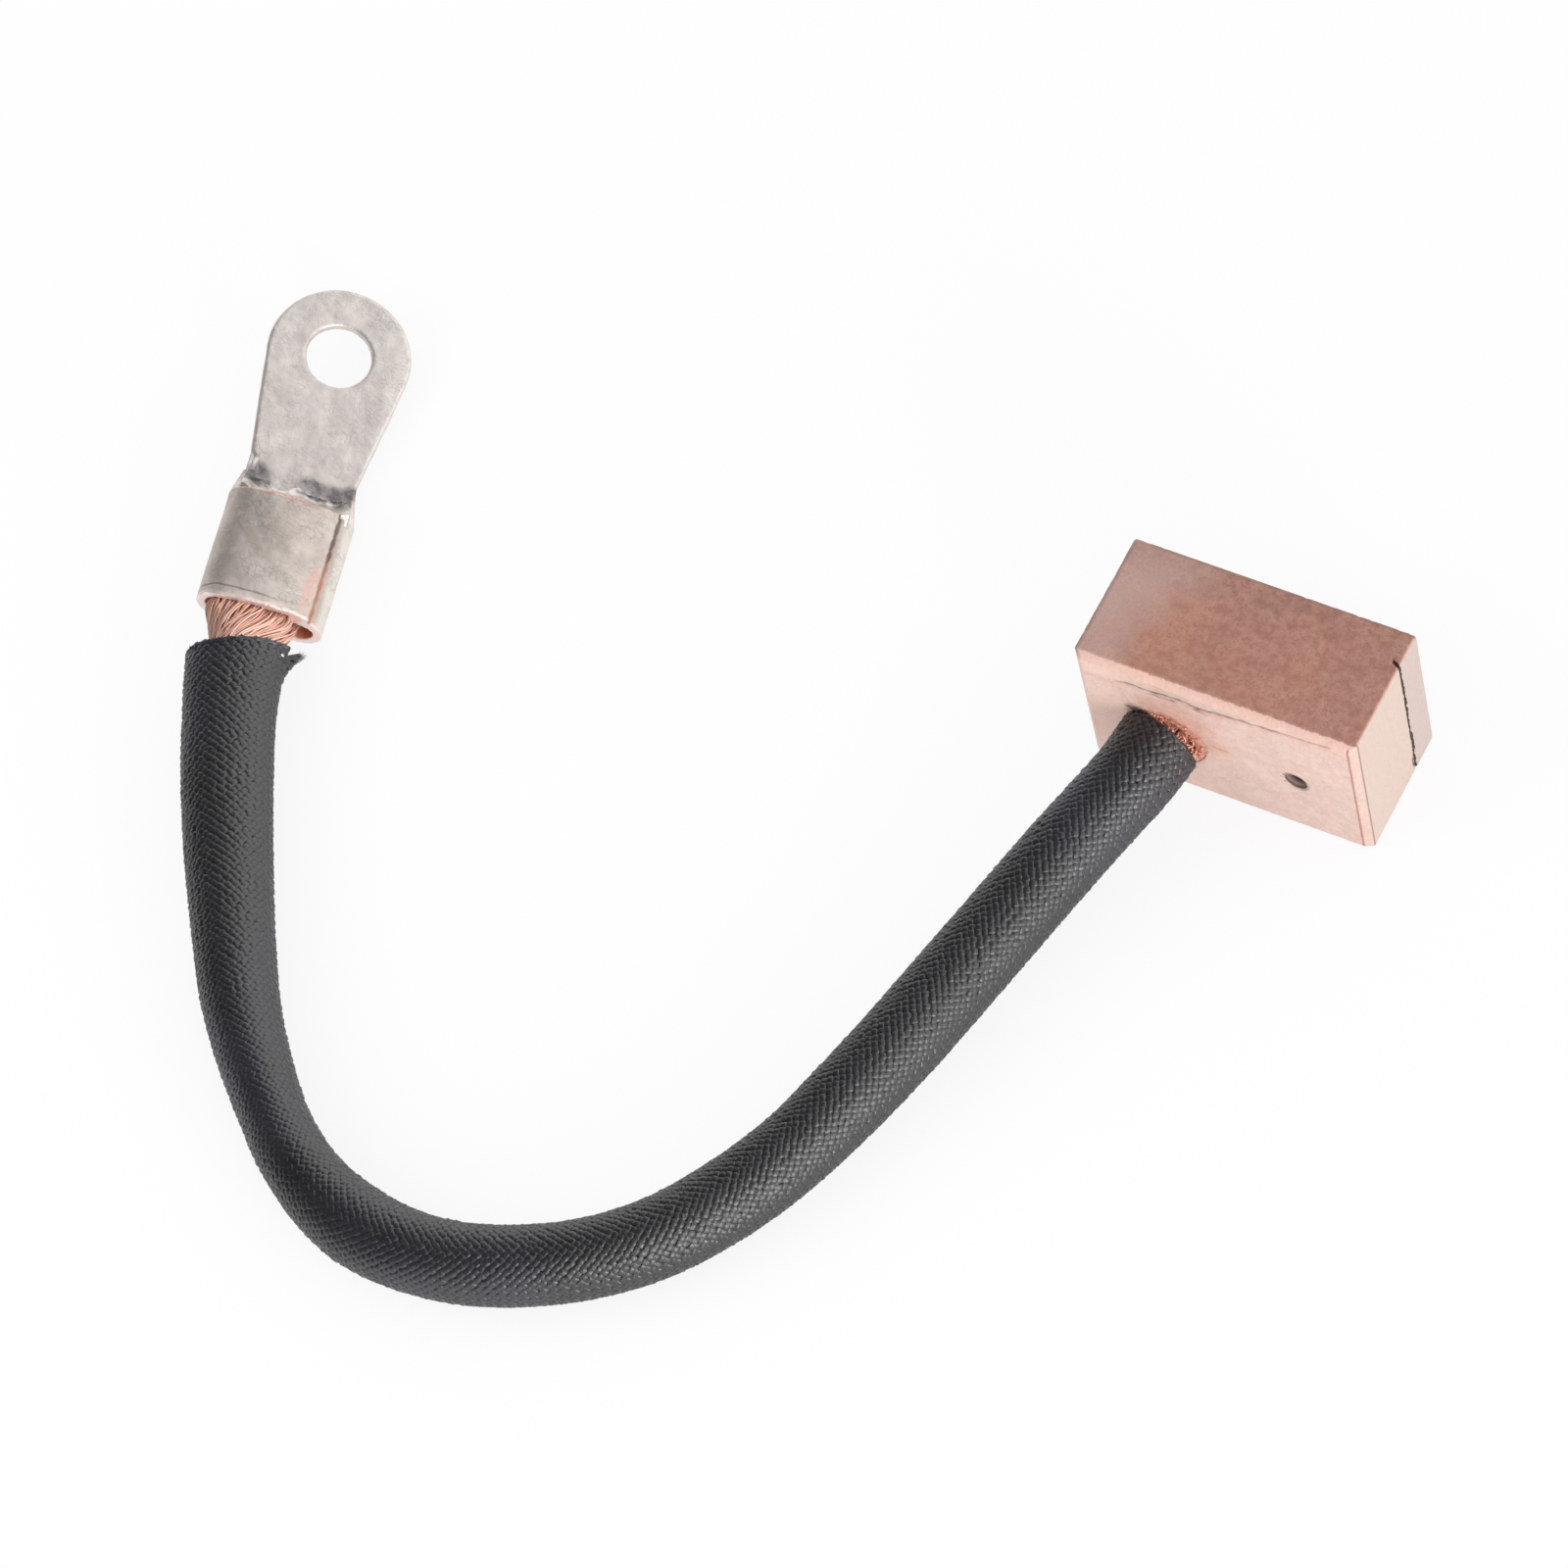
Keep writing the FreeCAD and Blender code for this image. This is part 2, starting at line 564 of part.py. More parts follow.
def sweep_round(edges, radius):
    """A round bar along the edges, its volume compared with section times length."""
    first = edges[0]
    begin = first.valueAt(first.FirstParameter)
    section = Part.Wire(Part.makeCircle(radius, begin, first.tangentAt(first.FirstParameter)))
    bar = Part.Wire(edges).makePipeShell([section], True, False)
    wanted = math.pi * radius ** 2 * sum(edge.Length for edge in edges)
    if abs(bar.Volume / wanted - 1) > VOLUME_MARGIN:
        raise ValueError(f"the swept bar holds {bar.Volume:.0f} mm3, and {wanted:.0f} mm3 was wanted")
    return bar


def flat_section(placement, along):
    """Oval section of the flattened rope, across the terminal at a distance from the barrel's mouth."""
    low = size["sheet"] + size["flat_rope_lift"]
    centre = Vector(-size["flat_rope_shift"], along, low + size["flat_rope_height"] / 2)
    side = Vector(size["flat_rope_width"] / 2, 0, 0)
    upper = Vector(0, 0, size["flat_rope_height"] / 2)
    points = [placement.multVec(point) for point in (centre + side, centre + upper, centre)]
    return Part.Wire(Part.Ellipse(*points).toShape())


def make_lead(placement):
    """Rope and sleeve along one route, from the bottom of the block's hole to the terminal's barrel.

    The rope shows at both ends and reaches into the sleeve's mouths. Between them the covered lead is one
    plain bar.
    """
    across = size["lead_inset"] - size["block_length"] / 2
    bottom = Vector(across, size["lead_hole_depth"] - size["block_depth"] / 2, size["lead_height"])
    # The rope is straight as far as the block's face, so its first arc starts just outside the hole.
    straight = (size["lead_hole_depth"] + size["lead_run_out"]) / (1 - ARC_SHARE)
    middle = size["sheet"] + size["flat_rope_lift"] + size["flat_rope_height"] / 2
    arrival = placement.multVec(Vector(-size["flat_rope_shift"], -size["flattening_length"], middle))
    edges = rounded_route([bottom, bottom - Vector(0, straight, 0), *ROUTE, arrival])
    total = sum(edge.Length for edge in edges)
    print(f"lead: {total:.1f} mm from the hole's bottom to the flattened end")

    rope_radius = size["rope_diameter"] / 2
    mouth_depth = size["sleeve_mouth"]
    sleeve_start = size["lead_hole_depth"] + size["sleeve_gap_block"]
    sleeve_end = total - size["sleeve_gap_barrel"]
    block_rope = sweep_round(stretch(edges, 0, sleeve_start + mouth_depth), rope_radius)
    barrel_rope = sweep_round(stretch(edges, sleeve_end - mouth_depth, total), rope_radius)
    last = edges[-1]
    heading = last.tangentAt(last.LastParameter)
    level = placement.Rotation.multVec(Vector(1, 0, 0))
    frame = Rotation(level, Vector(), heading, "ZXY")
    begin = Part.Circle(Vector(), Vector(0, 0, 1), rope_radius).toShape()
    begin.Placement = Placement(arrival, frame)
    mouth = flat_section(placement, 0)
    flattening = Part.makeLoft([Part.Wire(begin), mouth], True, True)
    in_barrel = size["barrel_length"] + size["rope_past_barrel"]
    flat_rope = Part.Face(mouth).extrude(placement.Rotation.multVec(Vector(0, in_barrel, 0)))
    rope = document.addObject("Part::Feature", "lead_rope")
    rope.Label = "lead_rope"
    rope.Shape = Part.makeCompound([block_rope, barrel_rope.fuse([flattening, flat_rope])])
    rope.Placement = Placement()

    covered = stretch(edges, sleeve_start, sleeve_end)
    bore = rope_radius + size["sleeve_fit"]
    bar = sweep_round(covered, bore + size["sleeve_wall"])
    mouths = [
        sweep_round(stretch(edges, sleeve_start, sleeve_start + mouth_depth), bore),
        sweep_round(stretch(edges, sleeve_end - mouth_depth, sleeve_end), bore),
    ]
    sleeve = document.addObject("Part::Feature", "lead_sleeve")
    sleeve.Label = "lead_sleeve"
    sleeve.Shape = bar.cut(mouths)
    sleeve.Placement = Placement()
    outside = 2 * (bore + size["sleeve_wall"])
    print(f"sleeve: {sum(edge.Length for edge in covered):.1f} mm, diameter {outside:.1f} mm")
    return [rope, sleeve]


# Assembly

def lay_down(terminal):
    """The terminal turned as it lies, with its lowest point on the surface."""
    turned = (
        Rotation(Vector(0, 0, 1), size["terminal_yaw"])
        * Rotation(Vector(1, 0, 0), size["terminal_pitch"])
        * Rotation(Vector(0, 1, 0), size["terminal_roll"])
    )
    shape = terminal.Shape.copy()
    shape.Placement = Placement(Vector(), turned)
    low = shape.optimalBoundingBox(False, False).ZMin
    return Placement(Vector(size["terminal_x"], size["terminal_y"], -low), turned)


def check(parts):
    """Stops if an object failed or a sub-part has no valid shape. The rope has two ends, and the rest one solid."""
    for item in document.Objects:
        if "Invalid" in item.State or "Error" in item.State:
            raise ValueError(f"{item.Label} failed: {item.State}")
    for part in parts:
        solids = 2 if part.Label == "lead_rope" else 1
        if part.Shape.isNull() or not part.Shape.isValid() or len(part.Shape.Solids) != solids:
            raise ValueError(f"{part.Label} does not hold {solids} valid solids")
        print(f"{part.Label}: {part.Shape.Volume:.1f} mm3")


block = make_block()
plug = make_tamping_plug()
terminal = make_terminal()
solder = make_solder()
document.recompute()
lying = lay_down(terminal)
terminal.Placement = lying
solder.Placement = lying
document.recompute()
parts = [block, plug, *make_lead(lying), terminal, solder]
document.recompute()
check(parts)

hole_middle = lying.multVec(Vector(0, size["ring_distance"], size["sheet"] / 2))
hole_axis = lying.Rotation.multVec(Vector(0, 0, 1))
print("ring hole at", [round(value, 4) for value in hole_middle])
print("ring hole's axis", [round(value, 5) for value in hole_axis])

os.makedirs("parts", exist_ok=True)
for part in parts:
    part.Shape.exportStep(f"parts/{part.Label}.step")
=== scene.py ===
"""Dressed model of a wiper brush contact.

A pressed copper-graphite block carries a copper rope in a tamped hole. The rope runs through a black
braided sleeve to a folded, tinned ring terminal. Sizes are in millimetres in the code and become metres
where a mesh is made.
"""

import logging
import math
from collections.abc import Callable
from dataclasses import dataclass, field
from enum import Enum

import bpy
import numpy as np
from mathutils import Matrix, Vector

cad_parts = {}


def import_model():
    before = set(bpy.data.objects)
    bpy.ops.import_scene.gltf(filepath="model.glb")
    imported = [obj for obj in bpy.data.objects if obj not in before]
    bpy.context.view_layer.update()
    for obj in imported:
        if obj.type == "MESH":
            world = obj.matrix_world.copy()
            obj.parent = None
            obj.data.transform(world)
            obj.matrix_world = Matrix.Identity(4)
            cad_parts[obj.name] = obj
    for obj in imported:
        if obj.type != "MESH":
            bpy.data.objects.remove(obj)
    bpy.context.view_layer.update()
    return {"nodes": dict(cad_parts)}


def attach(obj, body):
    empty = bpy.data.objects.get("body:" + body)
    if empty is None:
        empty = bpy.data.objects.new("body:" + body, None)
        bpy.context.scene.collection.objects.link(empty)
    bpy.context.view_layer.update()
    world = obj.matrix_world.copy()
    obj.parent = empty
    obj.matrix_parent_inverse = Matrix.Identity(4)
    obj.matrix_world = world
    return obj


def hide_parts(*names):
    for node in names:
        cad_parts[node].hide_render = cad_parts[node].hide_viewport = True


LOG = logging.getLogger("wiper_brush_contact")
MM = 0.001
WEAR_Y, WEAR_SLOPE = 3.38, 0.42  # the scribed line at the block's end, and how far it leans on the top
Array = np.ndarray
Flat = tuple[float, float]
Point = tuple[float, float, float]
Colour = tuple[float, float, float]
Socket = bpy.types.NodeSocket
Piece = bpy.types.Object
Groups = dict[str, bpy.types.NodeTree]


class Slot(Enum):
    """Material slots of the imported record."""

    BLOCK = "copper_graphite"
    POWDER = "copper_powder"
    ROPE = "copper_rope"
    SLEEVE = "braided_sleeve"
    TERMINAL = "tinned_sheet"
    SOLDER = "solder"


class Blend(Enum):
    """Ways of mixing two colours."""

    MIX = "MIX"
    MULTIPLY = "MULTIPLY"


def linear(colour: Colour) -> tuple[float, float, float, float]:
    """Turns a colour given from 0 to 255 into linear light with full alpha."""
    knee, low_slope, offset, power = 0.04045, 12.92, 0.055, 2.4
    parts = []
    for value in colour:
        share = value / 255
        parts.append(share / low_slope if share <= knee else ((share + offset) / (1 + offset)) ** power)
    return (*parts, 1.0)


def deselect_all() -> None:
    """Leaves edit mode and deselects every object."""
    if bpy.context.object is not None and bpy.context.object.mode != "OBJECT":
        bpy.ops.object.mode_set(mode="OBJECT")
    bpy.ops.object.select_all(action="DESELECT")


def activate(piece: Piece) -> None:
    """Makes one object the only selected and active one."""
    deselect_all()
    piece.select_set(True)
    bpy.context.view_layer.objects.active = piece


def link_new(name: str, data: bpy.types.ID) -> Piece:
    """Makes an object of some data and puts it in the scene."""
    piece = bpy.data.objects.new(name, data)
    bpy.context.scene.collection.objects.link(piece)
    return piece


def name_new(name: str) -> Piece:
    """Names the primitive that was just added, and its mesh."""
    piece = bpy.context.object
    piece.name = piece.data.name = name
    return piece


def bake_place(piece: Piece) -> None:
    """Moves an object's place, turn and scale into its mesh."""
    activate(piece)
    bpy.ops.object.transform_apply(location=True, rotation=True, scale=True)


def add_bar(name: str, place: Flat, radius: float, near: float, far: float, vertices: int) -> Piece:
    """Adds a round bar along Y.

    Args:
        name: The object's name.
        place: Its X and Z in millimetres.
        radius: Its radius.
        near: Y of its near end.
        far: Y of its far end.
        vertices: Corners round it.

    Returns:
        The new object, unturned.
    """
    deselect_all()
    bpy.ops.mesh.primitive_cylinder_add(
        vertices=vertices, radius=radius * MM, depth=(far - near) * MM,
        location=(place[0] * MM, (far + near) / 2 * MM, place[1] * MM), rotation=(math.pi / 2, 0, 0))
    bar = name_new(name)
    bake_place(bar)
    return bar


def apply_modifier(piece: Piece, kind: str, **settings: object) -> None:
    """Adds one modifier with its own settings and applies it."""
    activate(piece)
    modifier = piece.modifiers.new(kind.lower(), kind)
    for key, value in settings.items():
        setattr(modifier, key, value)
    bpy.ops.object.modifier_apply(modifier=modifier.name)


def edit(piece: Piece, kind: str, wanted: Callable[..., bool], *steps: Callable[[], object]) -> None:
    """Runs steps in edit mode on the faces or edges that a test picks.

    Args:
        piece: Mesh object to edit.
        kind: "FACE" or "EDGE".
        wanted: Test of a face's normal, or of an edge's two ends in millimetres.
        steps: Functions that work on what is selected.
    """
    activate(piece)
    bpy.ops.object.mode_set(mode="EDIT")
    bpy.ops.mesh.select_mode(type=kind)
    bpy.ops.mesh.select_all(action="DESELECT")
    bpy.ops.object.mode_set(mode="OBJECT")
    mesh = piece.data
    if kind == "FACE":
        for face in mesh.polygons:
            face.select = wanted(face.normal)
    else:
        for edge in mesh.edges:
            edge.select = wanted(*(mesh.vertices[number].co / MM for number in edge.vertices))
    bpy.ops.object.mode_set(mode="EDIT")
    for step in steps:
        step()
    bpy.ops.object.mode_set(mode="OBJECT")


def join_all(name: str, pieces: list[Piece]) -> Piece:
    """Joins pieces into the first one and names it."""
    activate(pieces[0])
    for piece in pieces[1:]:
        piece.select_set(True)
    bpy.ops.object.join()
    return name_new(name)


def corners_of(piece: Piece) -> Array:
    """Returns the vertices of a mesh in millimetres, one row each."""
    flat = np.empty(len(piece.data.vertices) * 3)
    piece.data.vertices.foreach_get("co", flat)
    return flat.reshape(-1, 3) / MM


def set_corners(piece: Piece, places: Array) -> None:
    """Writes vertices given in millimetres back to a mesh."""
    piece.data.vertices.foreach_set("co", (places * MM).ravel())
    piece.data.update()


def normals_of(piece: Piece) -> Array:
    """Returns the vertex normals of a mesh, one row each."""
    flat = np.empty(len(piece.data.vertices) * 3, np.float32)
    piece.data.vertex_normals.foreach_get("vector", flat)
    return flat.reshape(-1, 3).astype(float)


def set_masks(piece: Piece, **masks: Array) -> None:
    """Stores numbers from 0 to 1 on the vertices, for a material to read by name."""
    for name, values in masks.items():
        layer = piece.data.attributes.new(name, "FLOAT", "POINT")
        layer.data.foreach_set("value", np.clip(values, 0, 1).astype(np.float32))


def unit(ways: Array) -> Array:
    """Scales directions to length one."""
    return ways / np.linalg.norm(ways, axis=-1, keepdims=True)


def smooth_step(values: Array, low: float, high: float) -> Array:
    """Rises smoothly from 0 at low to 1 at high; low may be the larger one."""
    share = np.clip((values - low) / (high - low), 0, 1)
    return share * share * (3 - 2 * share)


def wrapped(angle: Array) -> Array:
    """Brings angles into the turn round zero."""
    return (angle + math.pi) % math.tau - math.pi


def lattice_noise(places: Array, scale: float, seed: int) -> Array:
    """Smooth value noise from -1 to 1.

    Args:
        places: Points in millimetres, one row each.
        scale: Distance between the noise's knots in millimetres.
        seed: Chooses the pattern.

    Returns:
        One value for each point.
    """
    table = np.random.default_rng(seed).uniform(-1, 1, 4096)
    cell = places / scale
    base = np.floor(cell).astype(int)
    part = cell - base
    part = part * part * (3 - 2 * part)
    total = np.zeros(len(places))
    for corner in range(8):
        step = np.array([corner & 1, corner >> 1 & 1, corner >> 2 & 1])
        knot = base + step
        picked = table[(knot[:, 0] * 73 + knot[:, 1] * 1741 + knot[:, 2] * 2879) % len(table)]
        total += picked * np.prod(np.where(step == 1, part, 1 - part), axis=1)
    return total


def rough_noise(places: Array, scale: float, seed: int, octaves: int = 3) -> Array:
    """Adds finer and weaker layers of smooth noise to one another."""
    return sum(lattice_noise(places, scale / 2 ** n, seed + n) / 2 ** n for n in range(octaves))


def distance_to_line(places: Array, line: tuple[Flat, ...]) -> tuple[Array, Array]:
    """Measures how far flat points lie from a bent line, and how far along it, from 0 to 1."""
    best = np.full(len(places), np.inf)
    along = np.zeros(len(places))
    ends = np.array(line, float)
    runs = np.linalg.norm(np.diff(ends, axis=0), axis=1)
    gone = 0.0
    for start, end, run in zip(ends[:-1], ends[1:], runs):
        share = np.clip(((places - start) @ (end - start)) / run ** 2, 0, 1)
        gap = np.linalg.norm(places - start - share[:, None] * (end - start), axis=1)
        nearer = gap < best
        best[nearer] = gap[nearer]
        along[nearer] = (gone + share[nearer] * run) / runs.sum()
        gone += run
    return best, along


def ridge(first: Array, second: Array, width: float) -> Array:
    """Marks the places near an edge, given their distances from its two faces."""
    return smooth_step(first, width, 0.3 * width) * smooth_step(second, width, 0.3 * width)


@dataclass(frozen=True)
class Blot:
    """A ragged oval mark that fades out between two shares of its half sizes."""

    middle: Flat
    halves: Flat
    ragged: float
    far: float
    near: float

    def on(self, u: Array, v: Array, noise: Array | float) -> Array:
        """Gives the mark from 0 to 1 at flat places."""
        out = np.hypot((u - self.middle[0]) / self.halves[0], (v - self.middle[1]) / self.halves[1])
        return smooth_step(out + self.ragged * noise, self.far, self.near)


@dataclass
class Graph:
    """Adds nodes to one node tree and links them, so that a finish reads as a list of steps."""

    tree: bpy.types.NodeTree

    @classmethod
    def of(cls, owner: bpy.types.Material | bpy.types.World) -> "Graph":
        """Empties the node tree of a material or world."""
        owner.use_nodes = True
        owner.node_tree.nodes.clear()
        return cls(owner.node_tree)

    def add(self, kind: str, feeds: dict[str | int, object] | None = None,
            **settings: object) -> bpy.types.Node:
        """Adds one node.

        Args:
            kind: The node's type, without its ShaderNode prefix.
            feeds: Values or sockets for its inputs, by name or number.
            settings: The node's own settings.

        Returns:
            The new node.
        """
        node = self.tree.nodes.new("ShaderNode" + kind)
        for key, value in settings.items():
            setattr(node, key, value)
        for key, value in (feeds or {}).items():
            self.feed(node.inputs[key], value)
        return node

    def feed(self, socket: Socket, value: object) -> None:
        """Links a socket to an input, or sets the input's plain value."""
        if isinstance(value, bpy.types.NodeSocket):
            self.tree.links.new(value, socket)
        else:
            socket.default_value = value

    def mix(self, share: object, first: object, second: object, blend: Blend = Blend.MIX) -> Socket:
        """Mixes two colours; share 0 gives the first one."""
        node = self.add("Mix", data_type="RGBA", blend_type=blend.value)
        for number, value in ((0, share), (6, first), (7, second)):
            self.feed(node.inputs[number], linear(value) if isinstance(value, tuple) else value)
        return node.outputs[2]

    def math(self, what: str, first: object, second: object = 0.0, clamp: bool = False) -> Socket:
        """Works out one number from two."""
        return self.add("Math", {0: first, 1: second}, operation=what, use_clamp=clamp).outputs[0]

    def times(self, first: object, second: object) -> Socket:
        """Multiplies two numbers."""
        return self.math("MULTIPLY", first, second)

    def plus(self, first: object, second: object) -> Socket:
        """Adds two numbers."""
        return self.math("ADD", first, second)

    def minus(self, first: object, second: object) -> Socket:
        """Takes the second number from the first."""
        return self.math("SUBTRACT", first, second)

    def most(self, first: object, second: object) -> Socket:
        """Gives the larger of two numbers."""
        return self.math("MAXIMUM", first, second)

    def gap(self, first: object, second: object) -> Socket:
        """Gives how far apart two numbers are."""
        return self.math("ABSOLUTE", self.minus(first, second))

    def between(self, value: object, low: float, high: float) -> Socket:
        """Rises smoothly from 0 to 1 as the value goes from low to high."""
        return self.add("MapRange", {"Value": value, "From Min": low, "From Max": high},
                        interpolation_type="SMOOTHSTEP").outputs["Result"]

    def span(self, value: object, low: float, high: float) -> Socket:
        """Stretches a value from 0 to 1 over low to high."""
        return self.add("MapRange", {"Value": value, "To Min": low, "To Max": high}).outputs["Result"]

    def noise(self, where: object, scale: object, detail: float = 3.0, roughness: float = 0.55) -> Socket:
        """Cloudy noise from about 0.3 to 0.7; scale counts the clouds in a metre."""
        return self.add("TexNoise", {"Vector": where, "Scale": scale, "Detail": detail,
                                     "Roughness": roughness}).outputs["Fac"]

    def ragged(self, where: object, scale: float, reach: float) -> Socket:
        """Noise round zero, by which an edge wanders."""
        return self.times(self.minus(self.noise(where, scale, 3.0, 0.7), 0.5), reach)

    def place(self) -> Socket:
        """Object coordinates."""
        return self.add("TexCoord").outputs["Object"]

    def parts(self, vector: object) -> bpy.types.NodeOutputs:
        """Splits a vector in three numbers."""
        return self.add("SeparateXYZ", {0: vector}).outputs

    def mask(self, name: str, output: str = "Fac") -> Socket:
        """What the mesh stores by a name."""
        return self.add("Attribute", attribute_name=name).outputs[output]

    def bump(self, height: object, depth: float, strength: float, under: object = None) -> Socket:
        """Turns a height from 0 to 1 into a normal; depth is in millimetres."""
        feeds = {"Height": height, "Distance": depth * MM, "Strength": strength}
        return self.add("Bump", feeds if under is None else {**feeds, "Normal": under}).outputs["Normal"]


def new_group(name: str, inputs: dict[str, float], outputs: tuple[str, ...]) -> tuple[Graph, Socket, object]:
    """Starts a shared node group that works on a place in space.

    Args:
        name: The group's name.
        inputs: Number inputs with their usual values, besides the place.
        outputs: Names of its number outputs.

    Returns:
        The graph, its input node's outputs and its output node's inputs.
    """
    tree = bpy.data.node_groups.new(name, "ShaderNodeTree")
    tree.interface.new_socket("Place", in_out="INPUT", socket_type="NodeSocketVector")
    for key, value in inputs.items():
        tree.interface.new_socket(key, in_out="INPUT", socket_type="NodeSocketFloat").default_value = value
    for key in outputs:
        tree.interface.new_socket(key, in_out="OUTPUT", socket_type="NodeSocketFloat")
    return Graph(tree), tree.nodes.new("NodeGroupInput").outputs, tree.nodes.new("NodeGroupOutput").inputs


def grain_group() -> bpy.types.NodeTree:
    """Pressed or cast grain: coarse clouds, fine grain, bright flecks and their joint height."""
    graph, given, made = new_group("grain", {"Clouds": 180.0, "Grains": 2600.0},
                                   ("Cloud", "Grain", "Fleck", "Height"))
    place = given["Place"]
    cloud = graph.noise(place, given["Clouds"], 4.0, 0.6)
    grain = graph.noise(place, given["Grains"], 2.0, 0.7)
    spots = graph.add("TexVoronoi", {"Vector": place, "Scale": given["Grains"]}).outputs["Distance"]
    graph.feed(made["Cloud"], graph.between(cloud, 0.3, 0.7))
    graph.feed(made["Grain"], graph.between(grain, 0.25, 0.75))
    graph.feed(made["Fleck"], graph.between(spots, 0.16, 0.05))
    graph.feed(made["Height"], graph.plus(graph.times(cloud, 0.5), graph.times(grain, 0.5)))
    return graph.tree


def scratch_group() -> bpy.types.NodeTree:
    """Fine handling scratches in two directions, from 0 to 1."""
    graph, given, made = new_group("scratches", {"Fine": 900.0}, ("Lines",))
    lines = []
    for turn, stretch in ((0.5, 14.0), (-1.1, 18.0)):
        turned = graph.add("Mapping", {"Vector": given["Place"], "Rotation": (0.2, 0.15, turn),
                                       "Scale": (1.0, stretch, 1.0)}).outputs["Vector"]
        strokes = graph.noise(turned, given["Fine"], 1.0, 0.5)
        patches = graph.noise(given["Place"], 260.0, 1.0)
        lines.append(graph.times(graph.between(strokes, 0.62, 0.72), graph.between(patches, 0.45, 0.6)))
    graph.feed(made["Lines"], graph.most(*lines))
    return graph.tree


def crackle_group() -> bpy.types.NodeTree:
    """Fine bent crack lines between cells, from 0 to 1, broken up in patches."""
    graph, given, made = new_group("crackle", {"Cells": 900.0, "Width": 0.07}, ("Lines",))
    place = given["Place"]
    drift = graph.add("TexNoise", {"Vector": place, "Scale": 1400.0, "Detail": 2.0}).outputs["Color"]
    small = graph.add("VectorMath", {0: drift, "Scale": 0.0011}, operation="SCALE").outputs["Vector"]
    bent = graph.add("VectorMath", {0: place, 1: small}, operation="ADD").outputs["Vector"]
    edge = graph.add("TexVoronoi", {"Vector": bent, "Scale": given["Cells"]},
                     feature="DISTANCE_TO_EDGE").outputs["Distance"]
    lines = graph.math("SUBTRACT", 1.0, graph.math("DIVIDE", edge, given["Width"], True), True)
    patches = graph.between(graph.noise(place, 420.0, 2.0), 0.42, 0.6)
    graph.feed(made["Lines"], graph.times(lines, patches))
    return graph.tree


@dataclass(frozen=True)
class Coat:
    """One colour laid over those below it, where a mask says and as strongly as its share."""

    mask: str
    share: float
    colour: Colour


Stack = tuple[Colour, tuple[Coat, ...]]


@dataclass(frozen=True)
class Finish:
    """A material with one principled shader: coats of colour, a range of roughness, and relief.

    A coat's mask is an output of the shared grain, one that the finish adds, or a number that the
    mesh stores.
    """

    name: str
    roughness: float
    metallic: float
    clouds: float
    grains: float
    base: Colour
    coats: tuple[Coat, ...]
    rough: Flat | None = None
    relief: Flat | None = None
    specular: float = 0.5

    def build(self, groups: Groups) -> bpy.types.Material:
        """Makes the material with the shared node groups."""
        material = bpy.data.materials.new(self.name)
        graph = Graph.of(material)
        shader = graph.add("BsdfPrincipled", {"Roughness": self.roughness, "Metallic": self.metallic,
                                              "Specular IOR Level": self.specular})
        graph.feed(graph.add("OutputMaterial").inputs["Surface"], shader.outputs["BSDF"])
        masks = dict(self.group(graph, groups["grain"], Clouds=self.clouds, Grains=self.grains).items())
        masks["Rough"] = masks["Grain"]
        self.add_masks(graph, groups, masks)
        graph.feed(shader.inputs["Base Color"], self.colour(graph, masks))
        if self.rough is not None:
            graph.feed(shader.inputs["Roughness"], graph.span(masks["Rough"], *self.rough))
        if self.relief is not None:
            graph.feed(shader.inputs["Normal"], graph.bump(masks["Height"], *self.relief, masks.get("Under")))
        return material

    def add_masks(self, graph: Graph, groups: Groups, masks: dict[str, Socket]) -> None:
        """Adds the finish's own masks to those of the grain; a plain finish has none."""

    def colour(self, graph: Graph, masks: dict[str, Socket]) -> Socket:
        """Gives the colour: the coats over the base."""
        return self.lay(graph, masks, self.base, self.coats)

    def lay(self, graph: Graph, masks: dict[str, Socket], colour: object, coats: tuple[Coat, ...]) -> Socket:
        """Lays coats over a colour, the first one lowest."""
        for coat in coats:
            share = masks[coat.mask] if coat.mask in masks else graph.mask(coat.mask)
            if coat.share != 1.0:
                share = graph.times(share, coat.share)
            colour = graph.mix(share, colour, coat.colour)
        return colour

    def group(self, graph: Graph, tree: bpy.types.NodeTree, **values: object) -> bpy.types.NodeOutputs:
        """Places a shared group on Object coordinates and returns its outputs."""
        return graph.add("Group", {"Place": graph.place(), **values}, node_tree=tree).outputs


